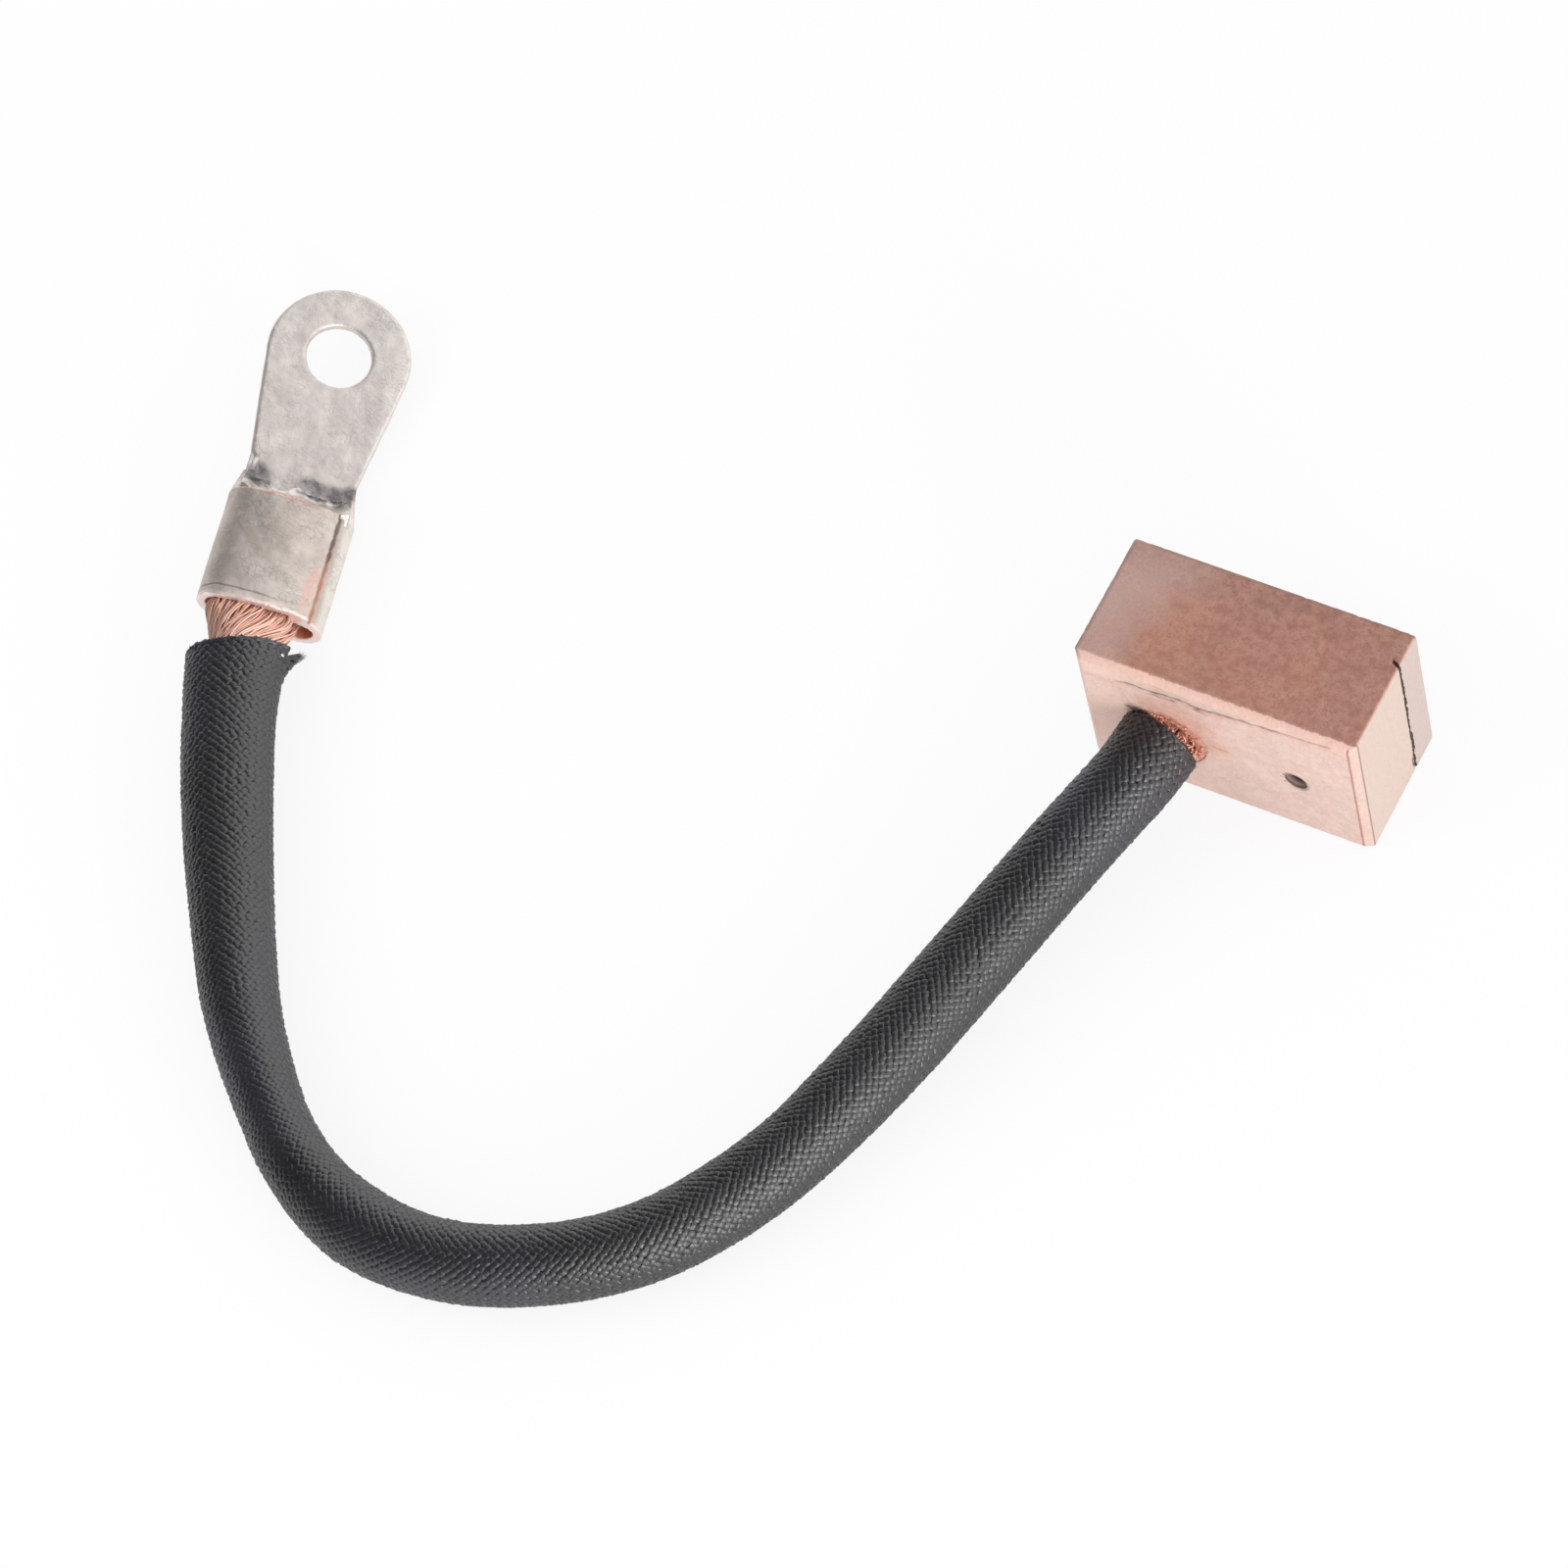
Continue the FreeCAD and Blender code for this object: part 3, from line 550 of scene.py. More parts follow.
@dataclass(frozen=True)
class PressedBlock(Finish):
    """Copper-graphite: brown and grainy on the worn top, pale and smooth on the sides."""

    top: Stack = ((161, 113, 100), (
        Coat("wide", 0.8, (176, 120, 99)), Coat("grey", 1.0, (188, 158, 152)),
        Coat("back", 0.42, (138, 104, 94)), Coat("small", 0.4, (196, 152, 134)),
        Coat("worms", 0.2, (218, 178, 160)), Coat("Fleck", 0.45, (230, 196, 178))))
    side: tuple[Coat, ...] = (
        # The pink coat is blush tone, and painted shade along the front's edges and under the scratch.
        Coat("dull", 1.0, (207, 178, 168)), Coat("pink", 1.0, (224, 174, 157)),
        Coat("small", 0.3, (240, 220, 210)), Coat("worms", 0.24, (188, 152, 142)),
        Coat("Fleck", 0.3, (184, 150, 140)))
    end: Stack = ((217, 195, 183), (Coat("beyond", 1.0, (206, 188, 179)),))
    # Near-black coat: dirt, the wear line, and painted shade in the scratches and the pin hole.
    soot: Coat = Coat("dirt", 0.95, (26, 20, 20))
    lip_z: float = 19.12
    lip_y: float = -6.78
    lip_fade: float = 0.08
    half_length: float = 16.0
    wear_run: float = 1.0
    wear_half: float = 0.08

    def wear_line(self, graph: Graph, place: Socket) -> tuple[Socket, Socket]:
        """Draws the scribed line sharply on the end face and over the top edge.

        Args:
            graph: The material's graph.
            place: Object coordinates.

        Returns:
            The line's mask and the mask of the side beyond the line.
        """
        x, y, _ = graph.parts(place)
        wobble = graph.ragged(place, 420.0, 0.9 * MM)
        inward = graph.most(graph.minus(self.half_length * MM, x), 0.0)
        middle = graph.plus(graph.times(inward, WEAR_SLOPE), graph.plus(wobble, WEAR_Y * MM))
        thick = graph.times(graph.noise(place, 900.0, 2.0), 0.22 * MM)
        line = graph.between(graph.minus(graph.gap(y, middle), thick), self.wear_half * MM, 0.02 * MM)
        line = graph.times(line, graph.math("GREATER_THAN", x, (self.half_length - self.wear_run) * MM))
        return line, graph.math("GREATER_THAN", y, middle)

    def near(self, graph: Graph, axis: Socket, value: float, half: float) -> Socket:
        """Marks a thin line where one coordinate has a value, both in millimetres."""
        return graph.between(graph.gap(axis, value * MM), half * MM, 0.3 * half * MM)

    def add_masks(self, graph: Graph, groups: Groups, masks: dict[str, Socket]) -> None:
        """Adds clouds, grains and worms for the faces, and the masks of the lip, the painted shade along the
        chamfer's borders, and the dirt and painted shade.
        """
        place = graph.place()
        x, y, z = graph.parts(place)
        ragged = graph.ragged(place, 1500.0, 0.5 * MM)
        wide = graph.between(graph.noise(place, 85.0, 3.0), 0.36, 0.64)
        small = graph.between(graph.noise(place, 900.0, 3.0, 0.65), 0.35, 0.65)
        right = graph.times(graph.between(x, -12 * MM, 6 * MM), 0.55)
        line, beyond = self.wear_line(graph, place)
        above = graph.between(graph.plus(z, ragged), self.lip_z * MM, (self.lip_z + self.lip_fade) * MM)
        before = graph.between(graph.plus(y, ragged), self.lip_y * MM, (self.lip_y - self.lip_fade) * MM)
        # Painted shade: thin dark lines along both borders of the front's right-hand chamfer.
        border = graph.most(
            graph.times(self.near(graph, x, 15.12, 0.17), graph.between(y, -7.1 * MM, -7.3 * MM)),
            graph.times(self.near(graph, y, -6.66, 0.15), graph.between(x, 15.3 * MM, 15.6 * MM)))
        masks.update(
            wide=wide, small=small, beyond=beyond, border=border,
            worms=self.group(graph, groups["crackle"], Cells=1500.0, Width=0.16)["Lines"],
            back=graph.between(y, 1.5 * MM, 7.6 * MM), dull=graph.plus(graph.times(wide, 0.25), right),
            lips=graph.most(graph.times(above, before), graph.times(graph.mask("lip"), 0.5)),
            dirt=graph.most(graph.mask("grime"), line),
            Height=graph.minus(graph.plus(masks["Height"], graph.times(small, 0.4)), line))

    def colour(self, graph: Graph, masks: dict[str, Socket]) -> Socket:
        """Mixes the faces' own colours by the masks that the block's mesh stores."""
        side, end, top = (self.lay(graph, masks, *stack)
                          for stack in ((self.base, self.side), self.end, self.top))
        colour = graph.mix(graph.mask("top"), graph.mix(graph.mask("end"), side, end), top)
        colour = self.lay(graph, masks, colour, self.coats)
        shade = graph.span(masks["Grain"], 0.93, 1.05)
        shade = graph.add("CombineColor", {0: shade, 1: shade, 2: shade}).outputs[0]
        return self.lay(graph, masks, graph.mix(1.0, colour, shade, Blend.MULTIPLY), (self.soot,))


@dataclass(frozen=True)
class BlackBraid(Finish):
    """Black yarn: fuzzy, with fine filaments along each carrier."""

    def add_masks(self, graph: Graph, groups: Groups, masks: dict[str, Socket]) -> None:
        """Reads the yarn's own UV map for its filaments."""
        along = graph.add("UVMap", uv_map="UVMap").outputs["UV"]
        lines = graph.add("TexWave", {"Vector": along, "Scale": 2.6, "Distortion": 0.8, "Detail": 1.0,
                                      "Detail Scale": 2.0}, bands_direction="X").outputs["Fac"]
        masks.update(lines=lines, Height=lines, Under=graph.bump(masks["Grain"], 0.05, 0.35),
                     tint=graph.between(graph.noise(graph.place(), 30.0, 2.0), 0.42, 0.6))


@dataclass(frozen=True)
class TinnedSheet(Finish):
    """Dull tin on copper: mottled grey-beige, crackled, copper showing on cut edges."""

    barrel: Stack = ((205, 195, 188), (Coat("patches", 1.0, (189, 177, 168)),))
    bare_near: Colour = (188, 134, 112)
    bare_far: Colour = (104, 84, 76)
    # The bright orange inside coat is painted light, reflected inside the barrel.
    last: tuple[Coat, ...] = (Coat("inside", 1.0, (244, 182, 146)), Coat("smudge", 1.0, (78, 76, 82)))
    shoulder: float = 12.9
    crease_y: float = 1.1
    rub: tuple[Flat, Flat] = ((4.2, 0.9), (3.4, 3.6))

    def add_masks(self, graph: Graph, groups: Groups, masks: dict[str, Socket]) -> None:
        """Adds crackle, scratches, the folded rim, the crease behind it with its painted shade, a painted
        highlight on the right wing, rubbed copper and flux.
        """
        cracks = self.group(graph, groups["crackle"], Cells=1250.0, Width=0.14)["Lines"]
        lines = self.group(graph, groups["scratches"], Fine=900.0)["Lines"]
        place = graph.place()
        x, y, z = graph.parts(graph.mask("local", "Vector"))
        patches = graph.between(graph.noise(place, 480.0, 4.0, 0.65), 0.34, 0.66)
        ragged = graph.ragged(place, 700.0, 1.6)
        on_barrel = graph.between(graph.plus(y, ragged), self.shoulder + 1.3, self.shoulder)
        above = graph.between(z, 4.2, 4.9)
        out = [graph.math("DIVIDE", graph.minus(axis, middle), half)
               for axis, (middle, half) in zip((x, y), self.rub)]
        out = graph.add("VectorMath", {0: graph.add("CombineXYZ", {0: out[0], 1: out[1]}).outputs[0]},
                        operation="LENGTH").outputs["Value"]
        # The crease is dented by the bump and darkened as painted shade.
        crease = graph.between(graph.gap(graph.plus(y, graph.times(ragged, 0.25)), self.crease_y), 0.2, 0.05)
        crease = graph.times(crease, graph.times(above, graph.between(x, 4.0, -3.0)))
        far = graph.times(graph.between(graph.gap(y, self.shoulder), 0.55, 0.2), above)
        masks.update(
            patches=patches, lines=lines, on_barrel=on_barrel, crease=crease, Rough=masks["Cloud"],
            # Painted highlight: the barrel's right wing is laid lighter.
            wing=graph.times(graph.between(x, 5.5, 6.5), graph.span(on_barrel, 0.3, 0.75)),
            cracks=graph.times(cracks, graph.plus(graph.times(on_barrel, 0.12), 0.1)),
            rubbed=graph.times(graph.between(graph.plus(out, ragged), 1.15, 0.35), above),
            rim=graph.between(graph.plus(y, graph.times(ragged, 0.3)), 0.5, 0.25),
            far=graph.times(far, graph.span(patches, 0.05, 0.35)),
            bare=graph.between(graph.plus(y, ragged), 9.5, 5.0),
            edge=graph.times(graph.mask("cut"), graph.span(masks["Cloud"], 0.7, 1.0)),
            smudge=graph.times(graph.mask("flux"), graph.span(patches, 0.5, 1.0)),
            Height=graph.minus(graph.plus(masks["Height"], graph.times(lines, 0.5)),
                               graph.plus(graph.times(cracks, 0.25), crease)))

    def colour(self, graph: Graph, masks: dict[str, Socket]) -> Socket:
        """Lays the barrel's tin beside the tongue's, then the coats and the cut edge's bare copper."""
        tongue = self.lay(graph, masks, self.base, self.coats[:1])
        colour = graph.mix(masks["on_barrel"], tongue, self.lay(graph, masks, *self.barrel))
        colour = self.lay(graph, masks, colour, self.coats[1:])
        bare = graph.mix(masks["bare"], self.bare_far, self.bare_near)
        return self.lay(graph, masks, graph.mix(masks["edge"], colour, bare), self.last)


@dataclass(frozen=True)
class SolderBead(Finish):
    """Grey, grainy solder with dark flux in its hollows."""

    def add_masks(self, graph: Graph, groups: Groups, masks: dict[str, Socket]) -> None:
        """Lets the flux thin out on the bead's clouds."""
        masks["dross"] = graph.times(graph.mask("flux"), graph.span(masks["Cloud"], 1.0, 0.6))


# The rope's pale coat on the shared clouds is painted sheen.
ROPE_FINISH = Finish("copper_rope", 0.45, 0.85, 420.0, 5200.0, (212, 128, 101), (
    Coat("wire", 1.0, (254, 218, 200)), Coat("Cloud", 0.35, (254, 226, 212))), (0.38, 0.55), (0.02, 0.4))
BRAID_FINISH = BlackBraid("black_braid", 0.4, 0.0, 420.0, 3800.0, (21, 20, 23), (
    Coat("tint", 0.6, (46, 42, 62)), Coat("Cloud", 0.3, (42, 40, 44)), Coat("yarn", 0.25, (42, 40, 44)),
    Coat("lines", 0.1, (18, 17, 20))), (0.29, 0.46), (0.03, 0.2), 1.0)
FRAY_FINISH = Finish("frayed_yarn", 0.6, 0.0, 800.0, 3800.0, (70, 66, 66), (
    Coat("yarn", 1.0, (206, 200, 192)), Coat("Cloud", 0.3, (120, 112, 106))))
BLOCK_FINISH = PressedBlock("pressed_block", 0.5, 0.2, 190.0, 2900.0, (240, 205, 190), (
    # The dark coats along the chamfer's borders and the top's edges are painted shade.
    Coat("lips", 1.0, (231, 193, 179)), Coat("border", 0.8, (158, 112, 102)),
    Coat("outline", 0.75, (112, 80, 70))), (0.44, 0.62), (0.1, 0.6), 0.4)
POWDER_FINISH = Finish("tamped_powder", 0.6, 0.4, 900.0, 4200.0, (214, 150, 124), (
    Coat("Cloud", 1.0, (238, 186, 164)), Coat("Grain", 0.4, (150, 92, 76)),
    # The dark coat at the hole's upper rim is partly scorch and partly painted shadow of the hole's edge.
    Coat("pale", 1.0, (228, 172, 154)), Coat("scorch", 0.85, (58, 42, 40))), None, (0.2, 0.8))
SHEET_FINISH = TinnedSheet("tinned_sheet", 0.45, 0.7, 300.0, 3000.0, (219, 211, 206), (
    Coat("patches", 1.0, (203, 195, 191)), Coat("Cloud", 0.22, (226, 216, 210)),
    # The wing coat is a painted highlight on the barrel's right side.
    Coat("wing", 1.0, (240, 235, 228)), Coat("cracks", 1.0, (100, 92, 88)),
    Coat("lines", 0.25, (128, 120, 116)), Coat("rubbed", 0.5, (216, 168, 150)),
    # The crease coat is painted shade in the crease.
    Coat("rim", 1.0, (240, 222, 216)), Coat("crease", 0.55, (112, 102, 98)),
    Coat("far", 1.0, (196, 136, 112))), (0.4, 0.56), (0.06, 0.6))
SOLDER_FINISH = SolderBead("solder_bead", 0.35, 0.7, 1100.0, 3600.0, (190, 183, 178), (
    Coat("Cloud", 1.0, (234, 228, 224)), Coat("dross", 1.0, (62, 60, 66))), (0.26, 0.5), (0.1, 0.5))


@dataclass
class Route:
    """The lead's line from the bottom of its hole to the end of the rope in the barrel."""

    points: tuple[Point, ...] = (
        (-6.4, 0.5, 9.4), (-6.4, -9.5, 9.4), (-10.2, -21.1, 7.9), (-14.1, -35.7, 6.3), (-18.3, -53.2, 5.6),
        (-23.4, -67.8, 4.6), (-32.9, -81.6, 4.6), (-50.1, -89.8, 4.6), (-66.6, -87.3, 4.6),
        (-81.5, -73.7, 4.6),
        (-89.9, -61.4, 4.6), (-98.5, -46.7, 4.7), (-103.9, -35.3, 4.9), (-105.6, -29.0, 5.3),
        (-108.48, -15.48, 6.57))
    step: float = 0.25
    line: Array = field(init=False)
    gone: Array = field(init=False)

    def __post_init__(self) -> None:
        """Reads the smooth line from a NURBS spline and spaces its points evenly."""
        data = bpy.data.curves.new("lead_route", "CURVE")
        data.dimensions = "3D"
        data.resolution_u = 40
        spline = data.splines.new("NURBS")
        spline.points.add(len(self.points) - 1)
        for point, (x, y, z) in zip(spline.points, self.points):
            point.co = (x * MM, y * MM, z * MM, 1.0)
        spline.order_u = 3
        spline.use_endpoint_u = True
        route = link_new("lead_route", data)
        bpy.context.view_layer.update()
        drawn = bpy.data.meshes.new_from_object(route)
        raw = np.array([tuple(vertex.co) for vertex in drawn.vertices]) / MM
        bpy.data.meshes.remove(drawn)
        bpy.data.objects.remove(route)
        gone = np.concatenate([[0], np.cumsum(np.linalg.norm(np.diff(raw, axis=0), axis=1))])
        self.gone = np.linspace(0, gone[-1], int(gone[-1] / self.step) + 1)
        self.line = np.stack([np.interp(self.gone, gone, raw[:, axis]) for axis in range(3)], axis=1)

    def at(self, gone: Array) -> Array:
        """Gives the points at distances along the line."""
        return np.stack([np.interp(gone, self.gone, self.line[:, axis]) for axis in range(3)], axis=1)

    def where(self, point: Point) -> float:
        """Gives the distance along the line of the place nearest to a point."""
        return float(self.gone[np.argmin(np.linalg.norm(self.line - np.array(point), axis=1))])

    def frame(self, gone: Array) -> tuple[Array, Array]:
        """Gives directions across and above the line at distances along it."""
        ahead = unit(self.at(gone + self.step) - self.at(gone - self.step))
        across = unit(np.cross(ahead, (0, 0, 1)))
        return across, np.cross(across, ahead)


def tubes(name: str, rings: Array, shades: Array, mask: str = "wire", normals: Array | None = None) -> Piece:
    """Makes many closed tubes in one mesh.

    Args:
        name: The object's name.
        rings: Points in millimetres, shaped (tubes, rings, sides, 3).
        shades: One number for each tube, stored on its vertices.
        mask: The name that the numbers are stored under.
        normals: Shading directions shaped as the rings, or nothing for the mesh's own.

    Returns:
        The new object, with a UV map that runs round and along each tube, in millimetres.
    """
    count, long, sides, _ = rings.shape
    ids = np.arange(count * long * sides).reshape(count, long, sides)
    ahead = np.roll(ids, -1, axis=2)
    quads = np.stack([ids[:, :-1], ids[:, 1:], ahead[:, 1:], ahead[:, :-1]], axis=-1).reshape(-1, 4)
    caps = [*ids[:, 0].tolist(), *ids[:, -1, ::-1].tolist()]
    mesh = bpy.data.meshes.new(name)
    mesh.from_pydata((rings.reshape(-1, 3) * MM).tolist(), [], quads.tolist() + caps)
    lengths = np.linalg.norm(np.diff(rings.mean(axis=2), axis=1), axis=2)
    run = np.concatenate([np.zeros((count, 1)), np.cumsum(lengths, axis=1)], axis=1)
    u = np.broadcast_to(np.arange(sides) / sides, (count, long - 1, sides))
    low, high = (np.broadcast_to(part[:, :, None], u.shape) for part in (run[:, :-1], run[:, 1:]))
    corners = ((u, low), (u, high), (u + 1 / sides, high), (u + 1 / sides, low))
    quad_uv = np.stack([np.stack(corner, -1) for corner in corners], axis=-2).reshape(-1, 2)
    every = np.zeros((len(mesh.loops), 2))
    every[:len(quad_uv)] = quad_uv
    mesh.uv_layers.new(name="UVMap").data.foreach_set("uv", every.ravel())
    piece = link_new(name, mesh)
    set_masks(piece, **{mask: np.repeat(shades, long * sides)})
    mesh.shade_smooth()
    if normals is not None:
        mesh.normals_split_custom_set_from_vertices(normals.reshape(-1, 3).tolist())
    return piece


def round_wires(lines: Array, radius: Array | float, sides: int) -> Array:
    """Puts round rings along lines.

    Args:
        lines: Points in millimetres, shaped (wires, points, 3).
        radius: Radius in millimetres, one for all or shaped (wires, points).
        sides: Corners of each ring.

    Returns:
        Rings shaped (wires, points, sides, 3).
    """
    way = unit(np.gradient(lines, axis=1))
    upright = np.abs(way[..., 2:]) >= 0.8
    side = unit(np.cross(way, np.where(upright, np.array([1.0, 0.0, 0.0]), np.array([0.0, 0.0, 1.0]))))
    thick = np.broadcast_to(np.asarray(radius, float), lines.shape[:2])[..., None, None]
    return lines[:, :, None] + thick * oval_ring(side[:, :, None], np.cross(side, way)[:, :, None], sides)


def oval_ring(side: Array, top: Array, sides: int) -> Array:
    """Turns two half axes into corners round an oval."""
    angles = (np.arange(sides) * math.tau / sides)[:, None]
    return side * np.cos(angles) + top * np.sin(angles)


@dataclass
class BrushBlock:
    """The pressed block: chamfered lead face, lead hole, pin hole and scribed wear line."""

    length: float = 32.0
    depth: float = 15.0
    height: float = 20.0
    chamfer: float = 0.8
    rounding: float = 0.35
    spacing: float = 0.2
    hole_place: Flat = (-6.4, 9.4)
    hole_radius: float = 4.5
    hole_depth: float = 8.0
    pin_place: Flat = (8.3, 9.4)
    pin_radius: float = 1.3
    pin_depth: float = 4.0
    pin_point: float = 0.8
    wear_run: float = 1.0
    wear_cut: float = 0.26
    lip_line: tuple[Flat, ...] = (
        (-11.5, 17.3), (-9.6, 17.6), (-7.1, 17.6), (-5.2, 17.9), (-3.6, 17.85), (-1.9, 17.5), (-0.4, 17.75),
        (2.4, 18.1), (5.5, 18.35), (9.1, 18.7), (13.0, 19.0))
    second_scratch: tuple[Flat, ...] = ((-7.6, 17.0), (-5.6, 17.1), (-4.2, 17.35), (-2.6, 17.2), (-1.2, 16.8))
    chip_loop: tuple[Flat, ...] = ((3.5, 3.5), (3.05, 2.9), (2.9, 2.0), (3.1, 1.2), (3.5, 0.7))
    # A dark patch at the lead hole's upper rim: partly scorch, partly painted shadow of the hole's edge.
    scorch: Blot = Blot((-9.6, 12.6), (1.8, 1.3), 0.25, 1.0, 0.25)
    smear: Blot = Blot((-0.6, 10.6), (2.4, 0.3), 0.3, 1.0, 0.3)
    blush: Blot = Blot((-5.5, 14.0), (6.5, 4.6), 0.22, 1.15, 0.35)
    small_blush: Blot = Blot((-1.6, 10.5), (3.4, 2.6), 0.2, 1.1, 0.3)

    def build(self) -> Piece:
        """Shapes the block and carves its wear, then cuts its holes."""
        deselect_all()
        bpy.ops.mesh.primitive_cube_add(size=1.0, location=(0, 0, self.height / 2 * MM),
                                        scale=(self.length * MM, self.depth * MM, self.height * MM))
        block = name_new("block")
        bake_place(block)
        front = -self.depth / 2
        edit(block, "EDGE", lambda a, b: max(a.y, b.y) < front + 0.01,
             lambda: bpy.ops.mesh.bevel(offset=self.chamfer * MM, segments=1, clamp_overlap=True))
        edit(block, "EDGE", lambda a, b: max(a.y, b.y) > front + self.chamfer + 0.2,
             lambda: bpy.ops.mesh.bevel(offset=self.rounding * MM, segments=3, clamp_overlap=True))
        for axis, whole in enumerate((self.length, self.depth, self.height)):
            edit(block, "EDGE", lambda a, b: abs(b[axis] - a[axis]) > 0.8 * whole,
                 lambda: bpy.ops.mesh.subdivide(number_cuts=int(whole / self.spacing) - 1))
        self.carve(block)
        self.cut(block)
        self.darken_pin_hole(block)
        block.data.shade_smooth()
        apply_modifier(block, "WEIGHTED_NORMAL", mode="FACE_AREA", weight=80)
        return block

    def carve(self, block: Piece) -> None:
        """Moves vertices for the lip, scratches, wear line and chipped edges, and stores the masks."""
        places = corners_of(block)
        x, y, z = places.T
        half_x, half_y = self.length / 2, self.depth / 2
        normals = normals_of(block)
        on_front, on_top, on_end = (smooth_step(facing, 0.75, 0.97)
                                    for facing in (-normals[:, 1], normals[:, 2], np.abs(normals[:, 0])))
        rough, broad, fine = (rough_noise(places, scale, seed)
                              for scale, seed in ((1.6, 11), (6.0, 41), (0.5, 23)))

        face = np.stack([x, z], 1)
        gap, along = distance_to_line(face, self.lip_line)
        strength = smooth_step(along, 0.0, 0.06) * (1 - 0.45 * smooth_step(along, 0.5, 0.9))
        strength *= 0.65 + 0.35 * smooth_step(rough, -0.5, 0.3)
        scratch = on_front * strength * smooth_step(gap + 0.1 * fine, 0.3, 0.08)
        gap, _ = distance_to_line(face, self.second_scratch)
        second = on_front * smooth_step(gap + 0.1 * fine, 0.22, 0.06) * smooth_step(rough, -0.6, 0.3) * 0.8
        lip_z = np.interp(x, *np.array(self.lip_line).T)
        above = on_front * smooth_step(z - lip_z + 0.25 * fine, 0.0, 0.3)
        push = -0.16 * np.maximum(scratch, second) * (1 + 0.5 * fine) + 0.06 * above * (rough + 0.6)
        push += 0.012 * rough * (on_top + on_front)

        middle = WEAR_Y + WEAR_SLOPE * np.maximum(half_x - x, 0)
        wear = smooth_step(np.abs(y - middle + 0.1 * fine), 0.2, 0.05) * (x > half_x - self.wear_run)
        gap, _ = distance_to_line(np.stack([y, z], 1), self.chip_loop)
        loop = on_end * (x > 0) * smooth_step(gap + 0.06 * fine, 0.24, 0.08)
        push -= self.wear_cut * np.maximum(wear, 0.6 * loop)

        to_top, to_front = np.abs(z - self.height), np.abs(y + half_y)
        to_end, to_back = np.abs(np.abs(x) - half_x), np.abs(y - half_y)
        lip = ridge(to_top, to_front, 1.15) * smooth_step(normals[:, 2], 0.2, 0.5) * (1 - on_top)
        lip = np.maximum(lip, ridge(to_end, to_front, 1.1) * (1 - on_front) * (1 - on_end))
        push -= 0.13 * lip * smooth_step(fine + 0.5 * rough, 0.2, 1.1)
        chips = np.maximum(ridge(to_top, to_back, 0.7), ridge(to_top, to_end, 0.7))
        push -= 0.07 * chips * smooth_step(fine, 0.1, 0.9)
        set_corners(block, places + normals * push[:, None])

        u, v = x - self.pin_place[0], z - self.pin_place[1]
        burr = on_front * smooth_step(np.abs(np.hypot(u, v) - self.pin_radius - 0.05 * fine), 0.26, 0.05)
        burr *= 0.7 + 0.3 * np.cos(2 * np.arctan2(v, u) + 0.9)
        pink = np.maximum(self.blush.on(x, z, rough) * 0.85, self.small_blush.on(x, z, fine))
        # Painted shade: a darker pink band just under the scratch line, and darker pink along the front's end
        # edges and bottom edge.
        band = smooth_step(np.abs(z - lip_z + 0.5), 0.55, 0.2) * on_front * 0.5
        edges = np.maximum(ridge(to_end, to_front, 1.5), ridge(z, to_front, 1.2)) * 0.45
        # Painted shade: a thin dark line along the top's back edge and left end edge.
        outline = np.maximum(ridge(to_top, to_back, 0.5), ridge(to_top, to_end, 0.5) * (x < 0))
        # grime holds dirt and painted shade: the scratches' grooves are darkened partly as painted shade,
        # beside the burr, chip loop, scorch and smear.
        set_masks(
            block, top=on_top, end=on_end,
            grime=np.maximum.reduce([scratch * 0.85, second * 0.75, loop * 0.9, burr,
                                     on_front * self.scorch.on(x, z, fine) * 0.9,
                                     on_front * self.smear.on(x, z, fine) * 0.22]),
            grey=smooth_step(-x + 0.35 * y + 2.5 * broad + 0.8 * rough, 5.5, 14.0) * 0.9,
            pink=np.maximum.reduce([on_front * pink, band, edges]),
            lip=lip * smooth_step(rough, -1.0, 0.2), outline=outline * smooth_step(rough, -1.2, 0.0))

    def cut(self, block: Piece) -> None:
        """Cuts the lead hole and the pin hole."""
        front = -self.depth / 2
        for name, place, radius, deep, point in (
                ("lead_hole", self.hole_place, self.hole_radius, self.hole_depth, 0.0),
                ("pin_hole", self.pin_place, self.pin_radius, self.pin_depth, self.pin_point)):
            drill = add_bar(name, place, radius, front - 1, front + deep, 64)
            if point:
                edit(drill, "FACE", lambda normal: normal.y > 0.9,
                     lambda: bpy.ops.mesh.extrude_region_move(
                         TRANSFORM_OT_translate={"value": (0, point * MM, 0)}),
                     lambda: bpy.ops.mesh.merge(type="COLLAPSE"))
            edit(drill, "EDGE", lambda a, b: abs(a.y - b.y) > 2,
                 lambda: bpy.ops.mesh.subdivide(number_cuts=15))
            apply_modifier(block, "BOOLEAN", object=drill, operation="DIFFERENCE", solver="EXACT")
            bpy.data.objects.remove(drill)

    def darken_pin_hole(self, block: Piece) -> None:
        """Stores painted shade on the pin hole's wall, all round but for one ring left lighter as a painted
        glint.
        """
        x, y, z = corners_of(block).T
        depth = y + self.depth / 2
        reach = np.hypot(x - self.pin_place[0], z - self.pin_place[1])
        inside = (reach < self.pin_radius + 0.02) & (depth > 0.02) & (depth < 6)
        layer = block.data.attributes["grime"]
        values = np.empty(len(x), np.float32)
        layer.data.foreach_get("value", values)
        # Painted shade darkens the hole's wall; one depth is left lighter as a painted glint.
        values = np.where(inside, 1.0 - 0.8 * np.exp(-((depth - 0.62) / 0.3) ** 2), values)
        layer.data.foreach_set("value", values.astype(np.float32))


